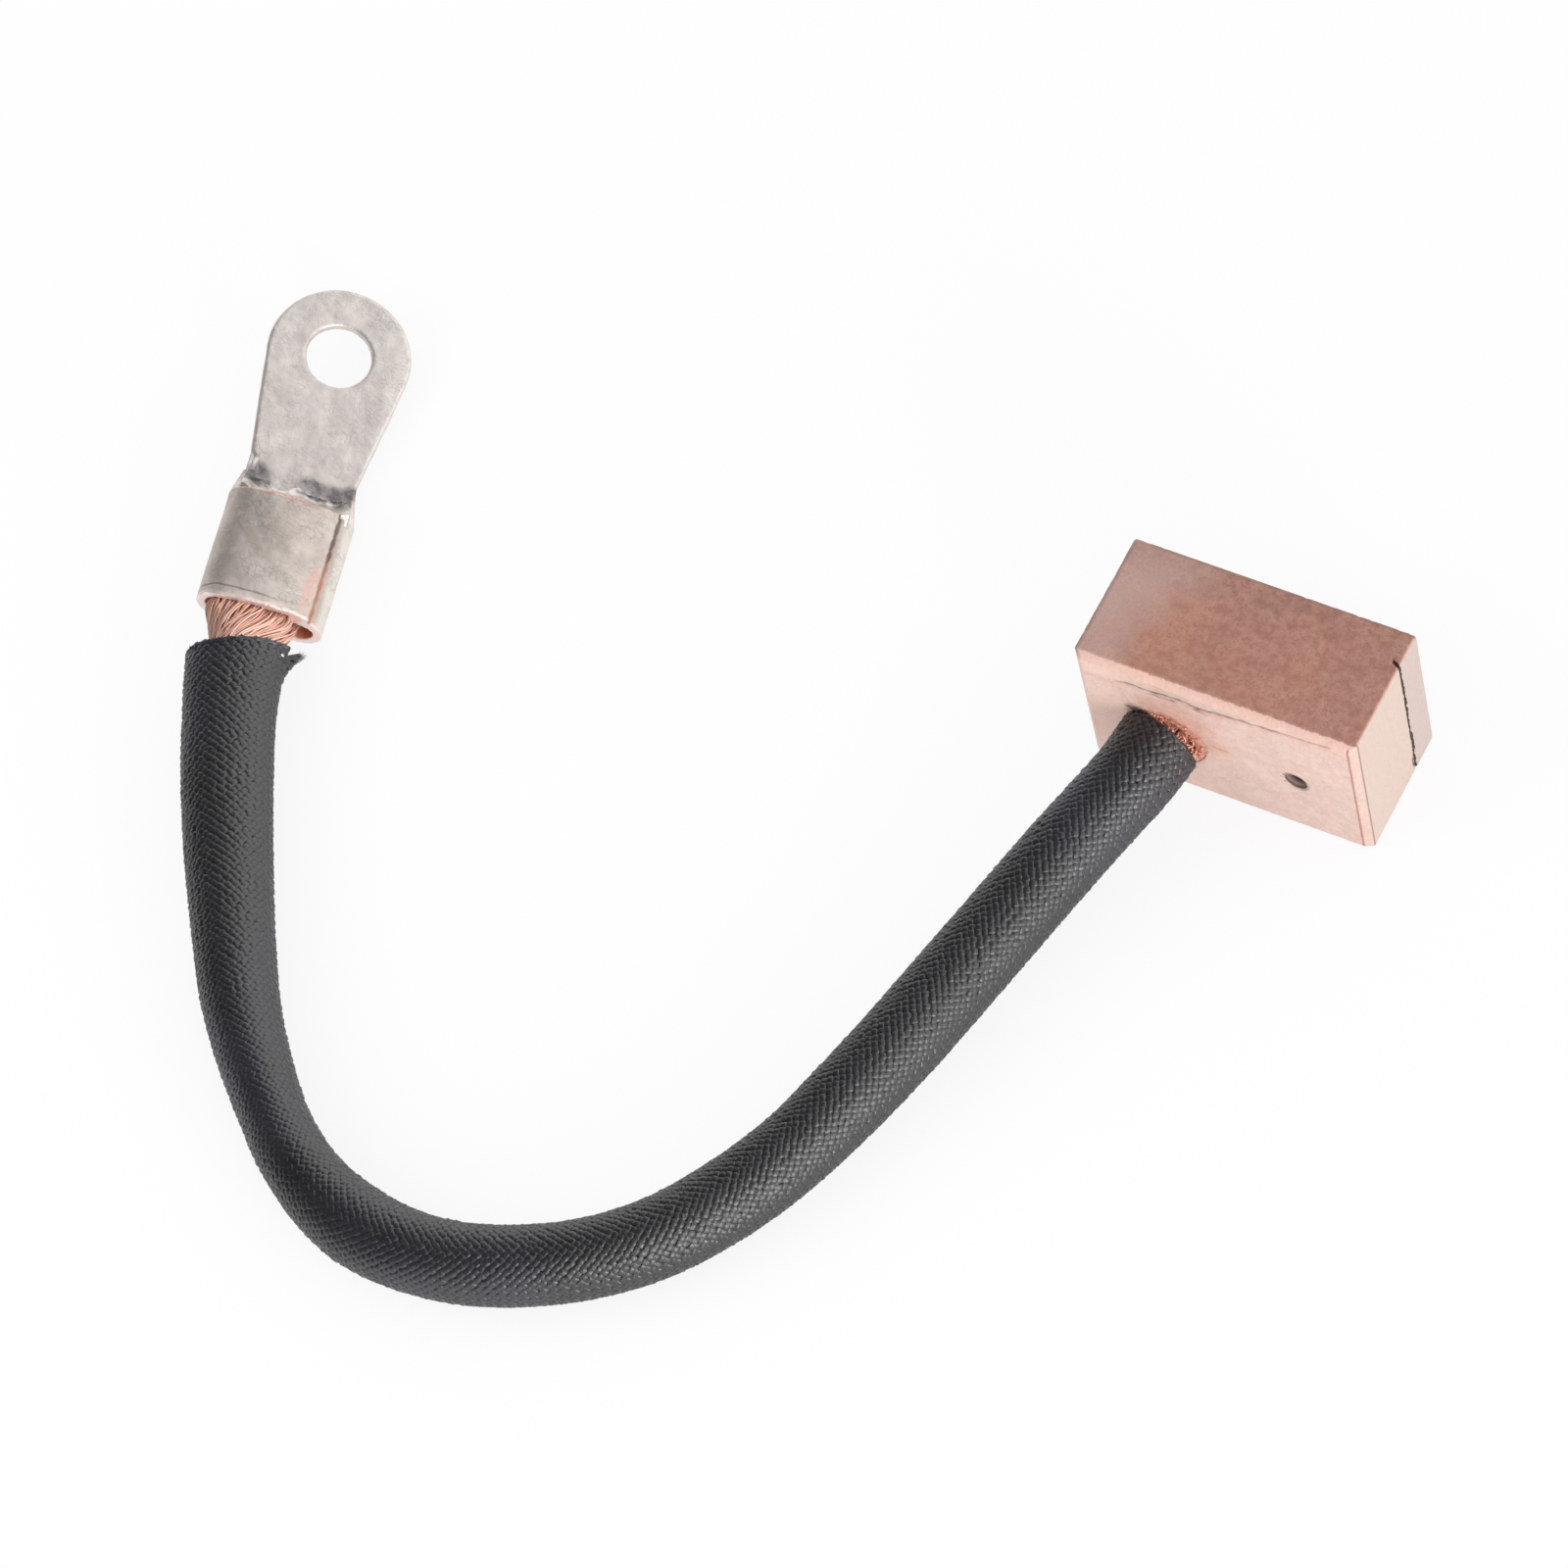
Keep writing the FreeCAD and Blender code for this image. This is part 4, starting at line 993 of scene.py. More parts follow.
@dataclass
class TampedPlug:
    """The ring of copper powder between the rope and the wall of its hole."""

    middle: Flat = (-6.4, 9.4)
    outside: float = 4.53
    inside: float = 3.2
    front: float = -7.5
    back: float = 0.4
    crumbs: int = 90
    # A dark patch on the powder at the hole's upper rim: partly scorch, partly painted shadow of the hole's
    # edge.
    scorch: Blot = Blot((-9.3, 12.2), (1.6, 1.6), 0.0, 1.2, 0.4)

    def build(self) -> Piece:
        """Shapes a crumbly ring, nearly flush with the block, and scatters crumbs on it."""
        plug = add_bar("tamped_powder", self.middle, self.outside, self.front, self.back, 160)
        deep = self.back - self.front - 0.3
        edit(plug, "FACE", lambda normal: normal.y < -0.9,
             lambda: bpy.ops.mesh.inset(thickness=(self.outside - self.inside) * MM, use_even_offset=True),
             lambda: bpy.ops.mesh.extrude_region_move(TRANSFORM_OT_translate={"value": (0, deep * MM, 0)}))
        edit(plug, "EDGE", self.is_spoke, lambda: bpy.ops.mesh.subdivide(number_cuts=9))
        places = corners_of(plug)
        x, y, z = places.T
        reach = np.hypot(x - self.middle[0], z - self.middle[1])
        heap = 0.22 * smooth_step(reach, self.outside, self.inside) \
            + 0.12 * rough_noise(places, 0.6, 5) - 0.05
        places[:, 1] -= np.where(y < self.front + 0.01, heap, 0)
        set_corners(plug, places)
        pale = smooth_step(reach + 0.15 * rough_noise(places, 0.7, 6), 3.75, 4.05)
        set_masks(plug, scorch=self.scorch.on(x, z, 0.0), pale=pale)
        plug.data.shade_smooth()
        return join_all("tamped_powder", [plug, *self.scatter()])

    def is_spoke(self, first: Vector, second: Vector) -> bool:
        """Tells whether an edge of the front face runs from the ring's inside to its outside."""
        reach = [math.hypot(end.x - self.middle[0], end.z - self.middle[1]) for end in (first, second)]
        return abs(reach[0] - reach[1]) > 0.8 and max(first.y, second.y) < self.front + 0.01

    def scatter(self) -> list[Piece]:
        """Copies one crumb, turned and sized differently each time, round the rope and the ring's edge."""
        rng = np.random.default_rng(12)
        deselect_all()
        bpy.ops.mesh.primitive_ico_sphere_add(subdivisions=1, radius=MM)
        first = name_new("crumb")
        shape = corners_of(first) * (1 + 0.25 * rng.uniform(-1, 1, (len(first.data.vertices), 1)))
        pieces = []
        for number in range(self.crumbs):
            crumb = link_new("crumb", first.data.copy())
            angle = rng.uniform(-2.2, 2.0) if number % 3 else rng.uniform(0, math.tau)
            reach = rng.uniform(self.inside + 0.1, self.outside - 0.3)
            size = rng.uniform(0.08, 0.2)
            turn = Matrix.Rotation(rng.uniform(0, 6), 3, "X") @ Matrix.Rotation(rng.uniform(0, 6), 3, "Z")
            depth = self.front - 0.16 - 0.2 * smooth_step(np.array(reach), self.outside, self.inside)
            middle = np.array((self.middle[0] + reach * math.cos(angle), float(depth),
                               self.middle[1] + reach * math.sin(angle)))
            set_corners(crumb, shape * size @ np.array(turn).T + middle)
            pieces.append(crumb)
        bpy.data.objects.remove(first)
        return pieces


@dataclass
class BarrelFrame:
    """The terminal's own directions: across the barrel, from its mouth to the ring, and above."""

    origin: Point = (-106.2, -28.4, 1.684)
    across: Point = (0.90643, 0.22587, -0.35689)
    along: Point = (-0.20705, 0.97412, 0.09063)
    above: Point = (0.36813, -0.00825, 0.92974)

    def axes(self) -> Array:
        """Gives the three directions as rows."""
        return np.array([self.across, self.along, self.above])

    def into(self, places: Array) -> Array:
        """Turns places in the row frame into places in the terminal's own frame."""
        return (places - np.array(self.origin)) @ self.axes().T

    def out_of(self, places: Array) -> Array:
        """Turns places in the terminal's own frame into places in the row frame."""
        return places @ self.axes() + np.array(self.origin)


@dataclass
class RopeLead:
    """The bare copper rope: layers of fine wires, seen at both ends of the sleeve."""

    route: Route
    barrel: BarrelFrame
    radius: float = 3.35
    wire: float = 0.125
    lay: float = 80.0
    step: float = 0.5
    layers: tuple[tuple[float, int], ...] = ((0.985, 98), (0.92, 90))
    stray: int = 14
    bunches: int = 7
    mouth: Point = (-105.69, -28.63, 5.35)
    flat_half: Flat = (4.9, 2.5)
    flat_shift: float = 0.1
    flattening: float = 5.0
    in_sleeve: float = 3.0
    loop_count: int = 46
    loop_middle: Flat = (-6.45, 9.4)

    def oval(self, gone: Array) -> tuple[Array, Array, Array]:
        """Gives the rope's middle and its two half axes at distances along the route."""
        across, above = self.route.frame(gone)
        mouth_at = self.route.where(self.mouth)
        flat = smooth_step(gone, mouth_at - self.flattening, mouth_at)[:, None]
        across = unit(across * (1 - flat) + np.array(self.barrel.across) * flat)
        above = unit(above * (1 - flat) + np.array(self.barrel.above) * flat)
        middle = self.route.at(gone) + across * flat * self.flat_shift
        return (middle, across * (self.radius * (1 - flat) + self.flat_half[0] * flat),
                above * (self.radius * (1 - flat) + self.flat_half[1] * flat))

    def strands(self, start: float, end: float) -> tuple[Array, Array]:
        """Lays the wires between two distances along the route: their rings and one shade for each."""
        gone = np.linspace(start, end, max(6, int((end - start) / self.step)))
        middle, half_u, half_v = self.oval(gone)
        rng = np.random.default_rng(7)
        lines, shades = [], []
        for share, count in self.layers:
            for number in range(count + (self.stray if share > 0.95 else 0)):
                loose = number >= count
                first = rng.uniform(0, math.tau) if loose else math.tau * number / count
                within = (first * self.bunches / math.tau) % 1.0
                groove = math.exp(-(min(within, 1 - within) / 0.07) ** 2)
                deep = 0.2 if int(first * self.bunches / math.tau + 0.5) % self.bunches in (1, 2) else 0.07
                out = share + (rng.uniform(0.02, 0.07) if loose else rng.uniform(-0.012, 0.012)) \
                    - groove * deep
                lay = self.lay * (rng.uniform(0.6, 1.7) if loose else 1.0)
                drift = 0.06 * np.sin(gone * rng.uniform(0.5, 1.1) + rng.uniform(0, 6))
                turn = first - math.tau * (gone - start) / lay + drift
                out = out + 0.022 * np.sin(gone * rng.uniform(0.6, 1.6) + rng.uniform(0, 6))
                lines.append(middle + half_u * (out * np.cos(turn))[:, None]
                             + half_v * (out * np.sin(turn))[:, None])
                # Wires in the grooves between bunches get half shade: painted shade in the grooves.
                shades.append(rng.uniform(0.45, 1) * (0.5 if groove > 0.5 else 1.0))
        return round_wires(np.array(lines), self.wire, 5), np.array(shades)

    def core(self, start: float, end: float, share: float) -> Piece:
        """Fills the rope's inside with a plain bar that its wires cover."""
        middle, half_u, half_v = self.oval(np.arange(start, end, 0.8))
        rings = middle[:, None] + share * oval_ring(half_u[:, None], half_v[:, None], 28)
        return tubes("rope_core", rings[None], np.array([0.0]))

    def loops(self, face: float) -> Piece:
        """Crumples short ends of wire round the rope, in the gap between block and sleeve; their low shades
        give deep copper, partly as painted shade in that gap.
        """
        rng = np.random.default_rng(29)
        share = np.linspace(0, 1, 9)
        lines = []
        for _ in range(self.loop_count):
            angle = rng.uniform(-1.9, 1.7)
            reach = rng.uniform(3.15, 3.55)
            bulge = rng.uniform(0.1, 0.45)
            swing = rng.uniform(-0.35, 0.35)
            y = face - rng.uniform(-0.1, 0.5) - share * rng.uniform(0.6, 1.3)
            radius = reach + bulge * np.sin(math.pi * share)
            turn = angle + swing * share + 0.05 * np.sin(share * rng.uniform(4, 9))
            lines.append(np.stack([self.loop_middle[0] + radius * np.cos(turn), y,
                                   self.loop_middle[1] + radius * np.sin(turn)], axis=1))
        # Low shades: deep copper, partly painted shade in the gap.
        return tubes("rope_loops", round_wires(np.array(lines), 0.13, 6), rng.uniform(0.0, 0.45, len(lines)))

    def build(self, sleeve_start: float, sleeve_end: float) -> Piece:
        """Lays the wires at both ends and joins them by a plain core in the sleeve."""
        end = self.route.gone[-1]
        pieces = [tubes(name, *self.strands(first, last)) for name, first, last in (
            ("rope_block_end", 0.1, sleeve_start + self.in_sleeve),
            ("rope_barrel_end", sleeve_end - self.in_sleeve, end))]
        return join_all("rope_strands", [*pieces, self.core(0.2, end - 0.2, 0.86), self.loops(-7.5)])


@dataclass
class BraidedSleeve:
    """The black braid: two sets of carriers that pass over and under each other."""

    route: Route
    diameter: float = 9.0
    length: float = 179.5
    first_place: Point = (-6.4, -8.45, 9.4)
    last_place: Point = (-104.86, -32.53, 4.99)
    carriers: int = 28
    turn_length: float = 27.0
    yarn_width: float = 0.8
    yarn_thickness: float = 0.36
    lift: float = 0.15
    samples: float = 2.2
    widths: tuple[float, ...] = (9.3, 9.0, 9.1, 9.1, 9.1, 9.1, 8.9, 8.5, 8.6, 8.5, 8.4, 8.5, 8.5, 8.8,
                                 7.8, 7.3, 7.9, 8.6, 9.1, 9.7, 10.1, 10.3, 11.2)
    highest: float = 4.45
    slit_angle: float = 0.08
    slit_depth: float = 1.6
    flare: float = 1.4
    profile: tuple[Flat, ...] = ((0.5, -0.2), (0.26, 0.42), (-0.26, 0.42), (-0.5, -0.2))
    leans: tuple[float, ...] = (1.7, 0.32, -0.32, -1.7)

    def __post_init__(self) -> None:
        """Works out where the sleeve starts and ends along the route."""
        self.start = self.route.where(self.first_place)
        self.end = self.route.where(self.last_place) - 0.3

    def start_cut(self, angle: Array) -> Array:
        """Gives how far the block end is cut back at an angle: it touches the block on the outer side."""
        return -0.35 - 0.42 * np.cos(angle) + 0.08 * np.sin(3 * angle)

    def rim_cut(self, angle: Array) -> Array:
        """Gives how far the terminal end is cut back: crowned on top and lower at the sides."""
        return 0.575 - 0.75 * np.cos(angle) - 0.15 * np.sin(angle) - 0.175 * np.cos(2 * angle) \
            + 1.3 * np.exp(-(wrapped(angle + 1.35) / 0.5) ** 2)

    def end_cut(self, angle: Array) -> Array:
        """Gives the same cut with one slit in it, beside a flared flap."""
        return self.rim_cut(angle) + self.slit_depth * np.exp(-(wrapped(angle - self.slit_angle) / 0.13) ** 2)

    def halves(self, gone: Array) -> tuple[Array, Array]:
        """Gives the sleeve's half width and half height at distances along the route."""
        knots = np.linspace(self.start, self.end, len(self.widths))
        half_u = np.interp(gone, knots, self.widths) / 2
        half_v = np.minimum(np.sqrt(np.maximum(self.diameter ** 2 / 2 - half_u ** 2, 17.6)), self.highest)
        return half_u, half_v

    def shell(self, gone: Array, angle: Array, inset: Array | float) -> tuple[Array, Array]:
        """Gives places on the oval sleeve and the directions away from its middle.

        Args:
            gone: Distances along the route.
            angle: Angles round the sleeve, of the same shape.
            inset: Depth under the outer surface.

        Returns:
            Points and outward directions.
        """
        shape, depth = gone.shape, np.broadcast_to(inset, gone.shape).ravel()[:, None]
        gone, angle = gone.ravel(), angle.ravel()
        across, above = self.route.frame(gone)
        half_u, half_v = self.halves(gone)
        cos, sin = np.cos(angle)[:, None], np.sin(angle)[:, None]
        outward = unit(across * cos * half_v[:, None] + above * sin * half_u[:, None])
        slack = -0.45 * smooth_step(gone, self.end - 40, self.end)[:, None]
        spread = self.flare * np.clip((gone - self.end + 4.2) / 4.2, 0, 1.2) ** 2
        half_u = half_u + spread * np.exp(-(wrapped(angle + 0.3) / 0.65) ** 2)
        places = self.route.at(gone) + across * (cos * half_u[:, None] + slack) \
            + above * sin * half_v[:, None] - outward * depth
        return places.reshape(*shape, 3), outward.reshape(*shape, 3)

    def yarns(self, hand: int) -> tuple[Array, Array]:
        """Gives the rings of one set of carriers.

        Args:
            hand: 1 for the carriers that turn one way, -1 for the others.

        Returns:
            Points and shading directions, both shaped (carriers, rings, sides, 3).
        """
        rng = np.random.default_rng(50 + hand)
        spacing = self.turn_length / (2 * self.carriers)
        count = int((self.end - self.start) / spacing * self.samples) + 1
        number = np.arange(self.carriers)[:, None]
        first = math.tau * number / self.carriers
        last = first + hand * math.tau * (self.end - self.start) / self.turn_length
        start = self.start + self.start_cut(first) + rng.uniform(-0.05, 0.05, first.shape)
        end = self.end - self.end_cut(last) + rng.uniform(-0.06, 0.06, first.shape)
        share = np.linspace(0, 1, count)[None]
        gone = start * (1 - share) + end * share
        turn = (gone - self.start) / self.turn_length
        met = number + hand * 2 * self.carriers * turn
        wave = np.cos(math.pi * (met + number)) * hand
        seeds = np.stack([gone, np.broadcast_to(number * 7.3, gone.shape),
                          np.full(gone.shape, 5.0 * hand)], -1)
        wander, wobble = (lattice_noise(seeds.reshape(-1, 3), scale, seed).reshape(gone.shape)
                          for scale, seed in ((5.0, 61), (1.1, 67)))
        angle = math.tau * (number / self.carriers + hand * turn) + 0.045 * wander
        inset = self.lift + self.yarn_thickness / 2 - self.lift * wave + 0.07 * wobble + 0.04
        middle, outward = self.shell(gone, angle, inset)
        way = unit(np.gradient(middle, axis=1))
        side = unit(np.cross(way, outward))
        wide = self.yarn_width * (0.84 + 0.16 * (wave + 1) / 2 + 0.07 * wobble)
        rings = [middle + side * (u * wide)[..., None] + outward * v * self.yarn_thickness
                 for u, v in self.profile]
        raised = np.cross(side, way) + 0.7 * outward
        normals = [unit(raised + side * lean) for lean in self.leans]
        return np.stack(rings, axis=2), np.stack(normals, axis=2)

    def build(self) -> tuple[Piece, Piece]:
        """Lays both sets of carriers, the first with the dark liner that they cover."""
        rng = np.random.default_rng(17)
        sets = []
        for name, hand in (("braided_sleeve", 1), ("braid_other_hand", -1)):
            rings, normals = self.yarns(hand)
            sets.append(tubes(name, rings, rng.uniform(0, 1, self.carriers), "yarn", normals))
        grid = np.meshgrid(np.arange(self.start + 0.9, self.end - 2.3, 1.0),
                           np.arange(24) * math.tau / 24, indexing="ij")
        liner = tubes("sleeve_liner", self.shell(*grid, 0.62)[0][None], np.array([0.0]), "yarn")
        return (join_all("braided_sleeve", [sets[0], liner]),
                join_all("braid_other_hand", [sets[1], *self.hems()]))

    def hems(self) -> list[Piece]:
        """Lays the fused rim of each cut end of the braid; the slit parts the one at the terminal."""
        hems = []
        for name, turn, gone, size in (
                ("block_hem", np.linspace(0, math.tau, 90),
                 lambda a: self.start + self.start_cut(a) + 0.1, 0.2),
                ("terminal_hem", np.linspace(self.slit_angle + 0.17, self.slit_angle - 0.17 + math.tau, 100),
                 lambda a: self.end - self.rim_cut(a) - 0.12, 0.24)):
            wobble = 0.05 * np.sin(turn * 17) + 0.04 * np.sin(turn * 29 + 1)
            line, _ = self.shell(gone(turn) + wobble, turn, 0.3 + wobble)
            hems.append(tubes(name, round_wires(line[None], size, 7), np.array([0.3]), "yarn"))
        return hems

    def fray(self) -> Piece:
        """Lays loose filament ends: a pale tuft beside the slit and short fuzz on both rims."""
        rng = np.random.default_rng(83)
        share = np.linspace(0, 1, 5)
        lines, shades, widths = [], [], []
        kinds = [(True, rng.uniform(-0.6, -0.1), self.end - 0.2, rng.uniform(0.3, 1.0)) for _ in range(90)]
        kinds += [(False, angle, self.end - float(self.end_cut(np.array(angle))) - 0.1,
                   rng.uniform(0.15, 0.5)) for angle in rng.uniform(0, math.tau, 90)]
        kinds += [(False, angle, self.start + float(self.start_cut(np.array(angle))) + 0.1,
                   -rng.uniform(0.1, 0.35)) for angle in rng.uniform(0, math.tau, 60)]
        for tuft, angle, foot, reach in kinds:
            gone = foot + reach * share
            lean = (rng.uniform(-0.1, 0.4) if tuft else rng.uniform(-0.2, 0.2)) * share ** 1.5
            turn = angle + rng.uniform(-0.14, 0.14) * share
            place, outward = self.shell(gone, turn, rng.uniform(0.1, 0.35))
            lines.append(place + outward * lean[:, None])
            shades.append(rng.uniform(0.35, 1.0) if tuft else rng.uniform(0, 0.45))
            widths.append(0.05 if tuft else 0.04)
        rings = round_wires(np.array(lines), np.array(widths)[:, None] * (1 - 0.6 * share)[None], 3)
        return tubes("frayed_ends", rings, np.array(shades), "yarn")

    def path(self) -> list[list[float]]:
        """Gives the middle line in metres."""
        return (self.route.at(np.linspace(self.start, self.end - 0.4, 240)) * MM).tolist()


@dataclass
class RingTerminal:
    """The folded ring terminal, from a refined copy of its CAD node."""

    node: Piece
    frame: BarrelFrame
    voxel: float = 0.156
    sheet: float = 1.0
    height: float = 7.2
    arch: float = 20.0
    flap_edge: float = 5.0
    cut_slope: float = 0.3
    notch: float = 0.4
    barrel_end: float = 13.3
    left_flux: Blot = Blot((-4.6, 16.6), (2.0, 1.9), 0.25, 1.15, 0.4)
    right_flux: Blot = Blot((2.6, 17.3), (4.2, 1.5), 0.3, 1.15, 0.4)
    corner_flux: Blot = Blot((5.6, 17.8), (1.6, 1.4), 0.2, 1.1, 0.4)

    def build(self) -> Piece:
        """Remeshes a merged copy finely enough to soften its edges and dent its sheet."""
        terminal = link_new("folded_terminal", self.node.data.copy())
        terminal.data.name = "folded_terminal"
        edit(terminal, "FACE", lambda normal: True, lambda: bpy.ops.mesh.remove_doubles(threshold=1e-6))
        apply_modifier(terminal, "REMESH", mode="VOXEL", voxel_size=self.voxel * MM, use_smooth_shade=True)
        apply_modifier(terminal, "SMOOTH", factor=0.5, iterations=2)
        self.shape(terminal)
        return terminal

    def shape(self, terminal: Piece) -> None:
        """Slopes the flap's cut edge, notches the neck, dents the sheet and stores the masks."""
        places = corners_of(terminal)
        normals = normals_of(terminal) @ self.frame.axes().T
        local = self.frame.into(places)
        x, y, z = local.T
        roof = self.height - (self.arch - np.sqrt(self.arch ** 2 - np.minimum(np.abs(x), 7) ** 2))
        rise = np.clip((z - (roof - self.sheet)) / self.sheet, 0, 1)
        on_flap = (z > roof - self.sheet - 0.35) & (y < self.barrel_end)
        slide = np.where(x < self.flap_edge, smooth_step(x, self.flap_edge - 0.5, self.flap_edge),
                         smooth_step(x, self.flap_edge + 1.1, self.flap_edge))
        moved = local.copy()
        moved[:, 0] += np.where(on_flap, self.cut_slope * (1 - rise) * slide, 0)
        step = smooth_step(-x, 5.0, 5.6) * smooth_step(y, 19.6, 19.2) * smooth_step(y, 16.9, 17.2) * (z < 3)
        moved[:, 0] += self.notch * step
        small = rough_noise(places, 1.1, 37)
        moved += normals * (0.05 * rough_noise(places, 3.2, 31) + 0.018 * small)[:, None]
        on_rim = smooth_step(y, 0.9, 0.1) * smooth_step(z, 4.5, 5.5)
        moved[:, 1] += on_rim * 0.16 * rough_noise(places, 2.2, 43)
        moved[:, 2] += on_rim * 0.10
        set_corners(terminal, self.frame.out_of(moved))

        # The inside mask marks the barrel's inner faces, which the sheet's finish covers with painted
        # reflected light.
        to_axis = unit(np.stack([-x * 0.6, np.zeros(len(x)), 3.6 - z], 1))
        inside = smooth_step(np.einsum("ij,ij->i", normals, to_axis), 0.2, 0.6)
        cut = on_flap * smooth_step(np.abs(x - self.flap_edge), 0.45, 0.25) \
            * smooth_step(normals[:, 0], 0.25, 0.6)
        flux = np.maximum.reduce([blot.on(x, y, small)
                                  for blot in (self.left_flux, self.right_flux, self.corner_flux)])
        set_masks(terminal, inside=inside * (y < 13.4) * (y > 0.12) * (np.abs(x) < 6.6), cut=cut,
                  flux=flux * (y > self.barrel_end) * 0.85)
        layer = terminal.data.attributes.new("local", "FLOAT_VECTOR", "POINT")
        layer.data.foreach_set("vector", local.astype(np.float32).ravel())


@dataclass
class SolderFillet:
    """Solder that fills the corner between the barrel and the tongue, from wall to wall."""

    frame: BarrelFrame
    half_width: float = 6.05
    near: float = 12.4
    far: float = 19.4
    base: float = 0.95
    roof: float = 6.05
    arch: float = 20.0
    height: float = 5.1
    run: float = 4.3
    heaps: tuple[Flat, ...] = ((-5.6, 1.5), (5.7, 1.3))
    left_flux: Blot = Blot((-4.4, 16.4), (1.9, 1.6), 0.3, 1.1, 0.4)
    right_flux: Blot = Blot((3.2, 16.8), (3.6, 1.2), 0.3, 1.1, 0.4)

    def build(self) -> Piece:
        """Raises a lumpy fillet out of a grid and closes it below."""
        deselect_all()
        bpy.ops.mesh.primitive_grid_add(x_subdivisions=130, y_subdivisions=80, size=2 * MM)
        bead = name_new("solder_bead")
        flat = corners_of(bead)
        count = len(flat)
        x = flat[:, 0] * self.half_width
        y = self.near + (flat[:, 1] + 1) / 2 * (self.far - self.near)
        where = np.stack([x, y, np.zeros(count)], 1)
        rough, small = rough_noise(where, 2.0, 3, 1), rough_noise(where, 0.8, 9, 2)
        edge = 12.9 + self.run * (1 + 0.16 * rough) * (0.86 + 0.14 * (x / 6) ** 2)
        share = np.clip((edge - y) / (edge - 13.0), 0, 1)
        rise = self.height * share ** 1.9 * (1.0 + 0.04 * rough)
        for middle, size in self.heaps:
            rise += size * np.exp(-((x - middle) / 1.0) ** 2 - ((y - 14.8) / 1.5) ** 2)
        rise += 0.1 * np.maximum(small, 0) * smooth_step(share, 0.0, 0.12) + 0.05 * rough
        rise = np.where(share <= 0, -0.3, rise)
        underside = self.roof - (self.arch - np.sqrt(self.arch ** 2 - x ** 2))
        z = np.minimum(1.0 + rise, underside + 0.5 * smooth_step(y, 13.2, 13.8))
        set_corners(bead, self.frame.out_of(np.stack([x, y, z], 1)))
        apply_modifier(bead, "SOLIDIFY", thickness=0.1 * MM, offset=-1.0)
        local = self.frame.into(corners_of(bead))
        local[count:, 2] = np.minimum(self.base - 0.4, local[count:, 2])
        set_corners(bead, self.frame.out_of(local))
        edit(bead, "FACE", lambda normal: True, lambda: bpy.ops.mesh.normals_make_consistent(inside=False))
        x, y, _ = local.T
        small = rough_noise(local, 0.9, 15)
        set_masks(bead, flux=np.maximum(self.left_flux.on(x, y, small), self.right_flux.on(x, y, small)))
        bead.data.shade_smooth()
        return bead


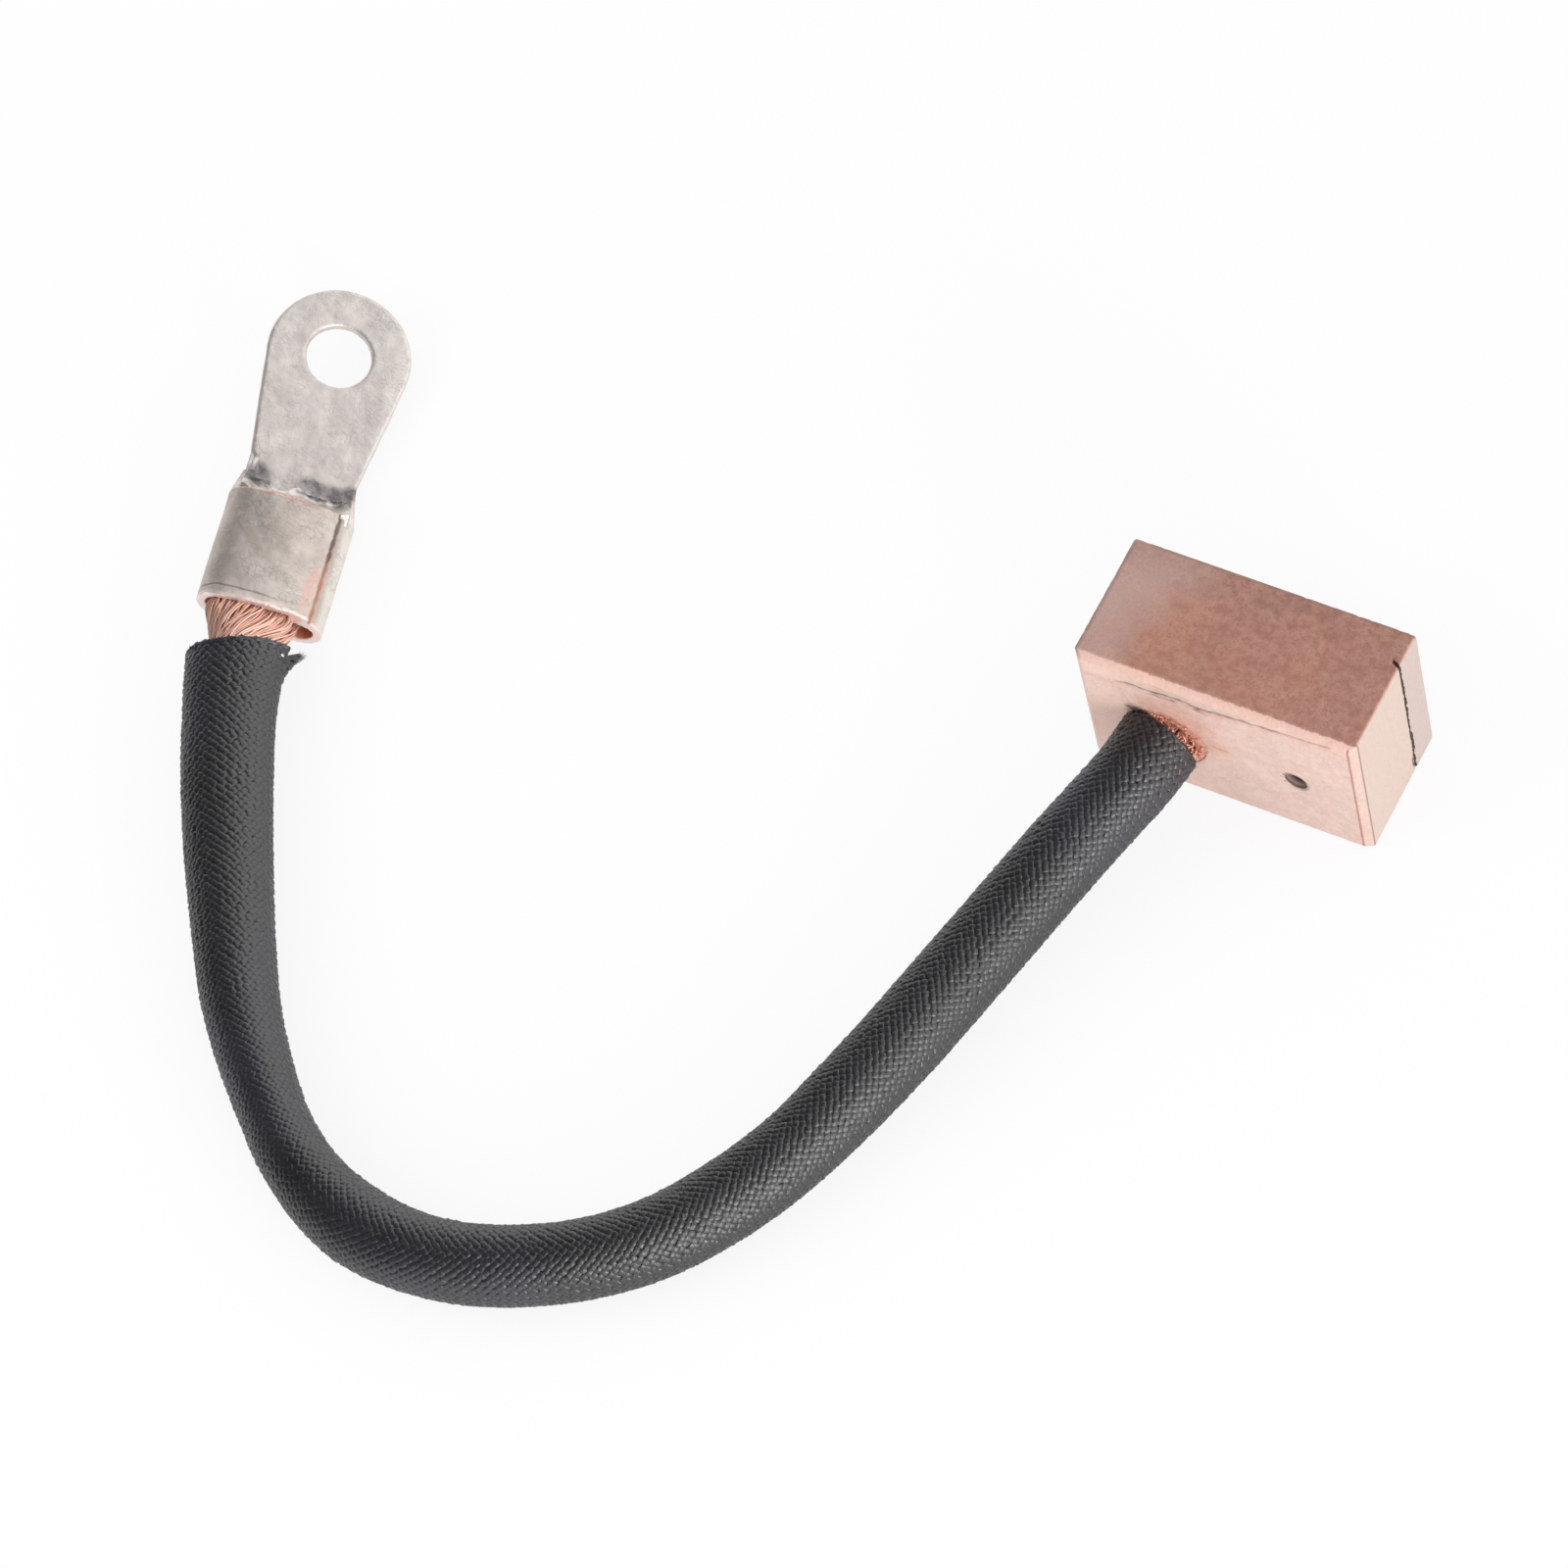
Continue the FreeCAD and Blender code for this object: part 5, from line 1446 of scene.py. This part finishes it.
@dataclass
class Studio:
    """Floor, lamps, world and the camera at the photograph's angle."""

    eye: Point = (245.6, -348.8, 695.2)
    right: Point = (0.878, 0.453, -0.1545)
    down: Point = (0.3224, -0.7984, -0.5086)
    ahead: Point = (-0.3538, 0.3967, -0.847)
    lens: float = 180.0
    sensor: float = 36.0
    middle: Point = (-50.0, -40.0, 8.0)
    sky: float = 0.9
    dim_side: Point = (-0.491, -0.368, 0.792)
    lamps: tuple[tuple[Point, float, float], ...] = (
        ((323.0, -265.0, 120.0), 220.0, 0.9), ((-320.0, -260.0, 300.0), 300.0, 0.45))

    def camera(self) -> None:
        """Places the camera as it was fitted to the photograph."""
        data = bpy.data.cameras.new("camera")
        data.lens = self.lens
        data.sensor_width = self.sensor
        data.clip_start = 0.05
        camera = link_new("camera", data)
        right, down, ahead = (Vector(v).normalized() for v in (self.right, self.down, self.ahead))
        turn = Matrix((right, -down, -ahead)).transposed()
        camera.matrix_world = Matrix.Translation(Vector(self.eye) * MM) @ turn.to_4x4()
        bpy.context.scene.camera = camera

    def floor(self) -> None:
        """Lays a pale floor that shows white to the camera and keeps the object's shadow."""
        deselect_all()
        bpy.ops.mesh.primitive_plane_add(size=6.0, location=(0, 0, 0))
        floor = name_new("floor")
        material = bpy.data.materials.new("pale_floor")
        graph = Graph.of(material)
        rays = graph.add("LightPath").outputs
        seen = graph.most(rays["Is Camera Ray"],
                          graph.most(rays["Is Glossy Ray"], rays["Is Transmission Ray"]))
        cloth = graph.add("BsdfDiffuse", {"Color": (0.86, 0.86, 0.86, 1)}).outputs[0]
        white = graph.add("Emission", {"Color": (1, 1, 1, 1), "Strength": 1.0}).outputs[0]
        mixed = graph.add("MixShader", {0: graph.times(seen, 0.86), 1: cloth, 2: white}).outputs[0]
        graph.feed(graph.add("OutputMaterial").inputs["Surface"], mixed)
        floor.data.materials.append(material)

    def world(self) -> None:
        """Lights the object from all round; gloss sees a white tent whose upper far side is dim."""
        world = bpy.data.worlds.new("studio")
        graph = Graph.of(world)
        rays = graph.add("LightPath").outputs
        way = graph.add("TexCoord").outputs["Generated"]
        facing = graph.add("VectorMath", {0: way, 1: tuple(Vector(self.dim_side).normalized())},
                           operation="DOT_PRODUCT").outputs["Value"]
        tent = graph.add("MapRange", {"Value": facing, "From Min": 0.38, "From Max": 0.58, "To Min": 1.52,
                                      "To Max": 0.06}, interpolation_type="SMOOTHSTEP").outputs["Result"]
        plain = graph.most(rays["Is Camera Ray"], rays["Is Transmission Ray"])
        lit = graph.add("Mix", {0: rays["Is Glossy Ray"], 2: self.sky, 3: tent}).outputs[0]
        strength = graph.add("Mix", {0: plain, 2: lit, 3: 1.0}).outputs[0]
        backdrop = graph.add("Background", {"Color": (1, 1, 1, 1), "Strength": strength})
        graph.feed(graph.add("OutputWorld").inputs["Surface"], backdrop.outputs[0])
        bpy.context.scene.world = world

    def lights(self) -> None:
        """Adds two wide lamps, of which only the first shows in gloss."""
        for number, (place, width, power) in enumerate(self.lamps):
            data = bpy.data.lights.new(f"lamp_{number}", "AREA")
            data.shape = "DISK"
            data.size = width * MM
            data.energy = power
            lamp = link_new(f"lamp_{number}", data)
            lamp.visible_glossy = number == 0
            aim = (Vector(self.middle) - Vector(place)).to_track_quat("-Z", "Y").to_matrix().to_4x4()
            lamp.matrix_world = Matrix.Translation(Vector(place) * MM) @ aim

    def build(self) -> None:
        """Sets the whole stage."""
        bpy.context.scene.view_settings.view_transform = "Standard"
        self.camera()
        self.floor()
        self.world()
        self.lights()


def settle(piece: Piece, material: bpy.types.Material, slot: Slot, node: str) -> None:
    """Gives a piece its material and body, hides the CAD node that it stands for, and logs its slot."""
    piece.data.materials.clear()
    piece.data.materials.append(material)
    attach(piece, "root")
    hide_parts(node)
    LOG.info("%s: %d faces, slot %s", piece.name, len(piece.data.polygons), slot.value)


def main() -> None:
    """Builds and dresses the part, then sets the stage."""
    logging.basicConfig(level=logging.INFO, format="%(name)s %(message)s")
    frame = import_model()
    groups = {"grain": grain_group(), "scratches": scratch_group(), "crackle": crackle_group()}
    Studio().build()
    route, barrel = Route(), BarrelFrame()
    sleeve = BraidedSleeve(route)
    LOG.info("sleeve %.1f mm along the route", sleeve.end - sleeve.start)

    rope = RopeLead(route, barrel).build(sleeve.start, sleeve.end)
    settle(rope, ROPE_FINISH.build(groups), Slot.ROPE, "lead_rope")
    first, second = sleeve.build()
    braid = BRAID_FINISH.build(groups)
    settle(first, braid, Slot.SLEEVE, "lead_sleeve")
    settle(second, braid, Slot.SLEEVE, "lead_sleeve")
    fray = sleeve.fray()
    settle(fray, FRAY_FINISH.build(groups), Slot.SLEEVE, "lead_sleeve")
    settle(BrushBlock().build(), BLOCK_FINISH.build(groups), Slot.BLOCK, "brush_block")
    settle(TampedPlug().build(), POWDER_FINISH.build(groups), Slot.POWDER, "tamping_plug")
    terminal = RingTerminal(frame["nodes"]["ring_terminal"], barrel).build()
    settle(terminal, SHEET_FINISH.build(groups), Slot.TERMINAL, "ring_terminal")
    solder = SolderFillet(barrel).build()
    settle(solder, SOLDER_FINISH.build(groups), Slot.SOLDER, "solder_fillet")

    sleeve.path()


if __name__ == "__main__":
    main()
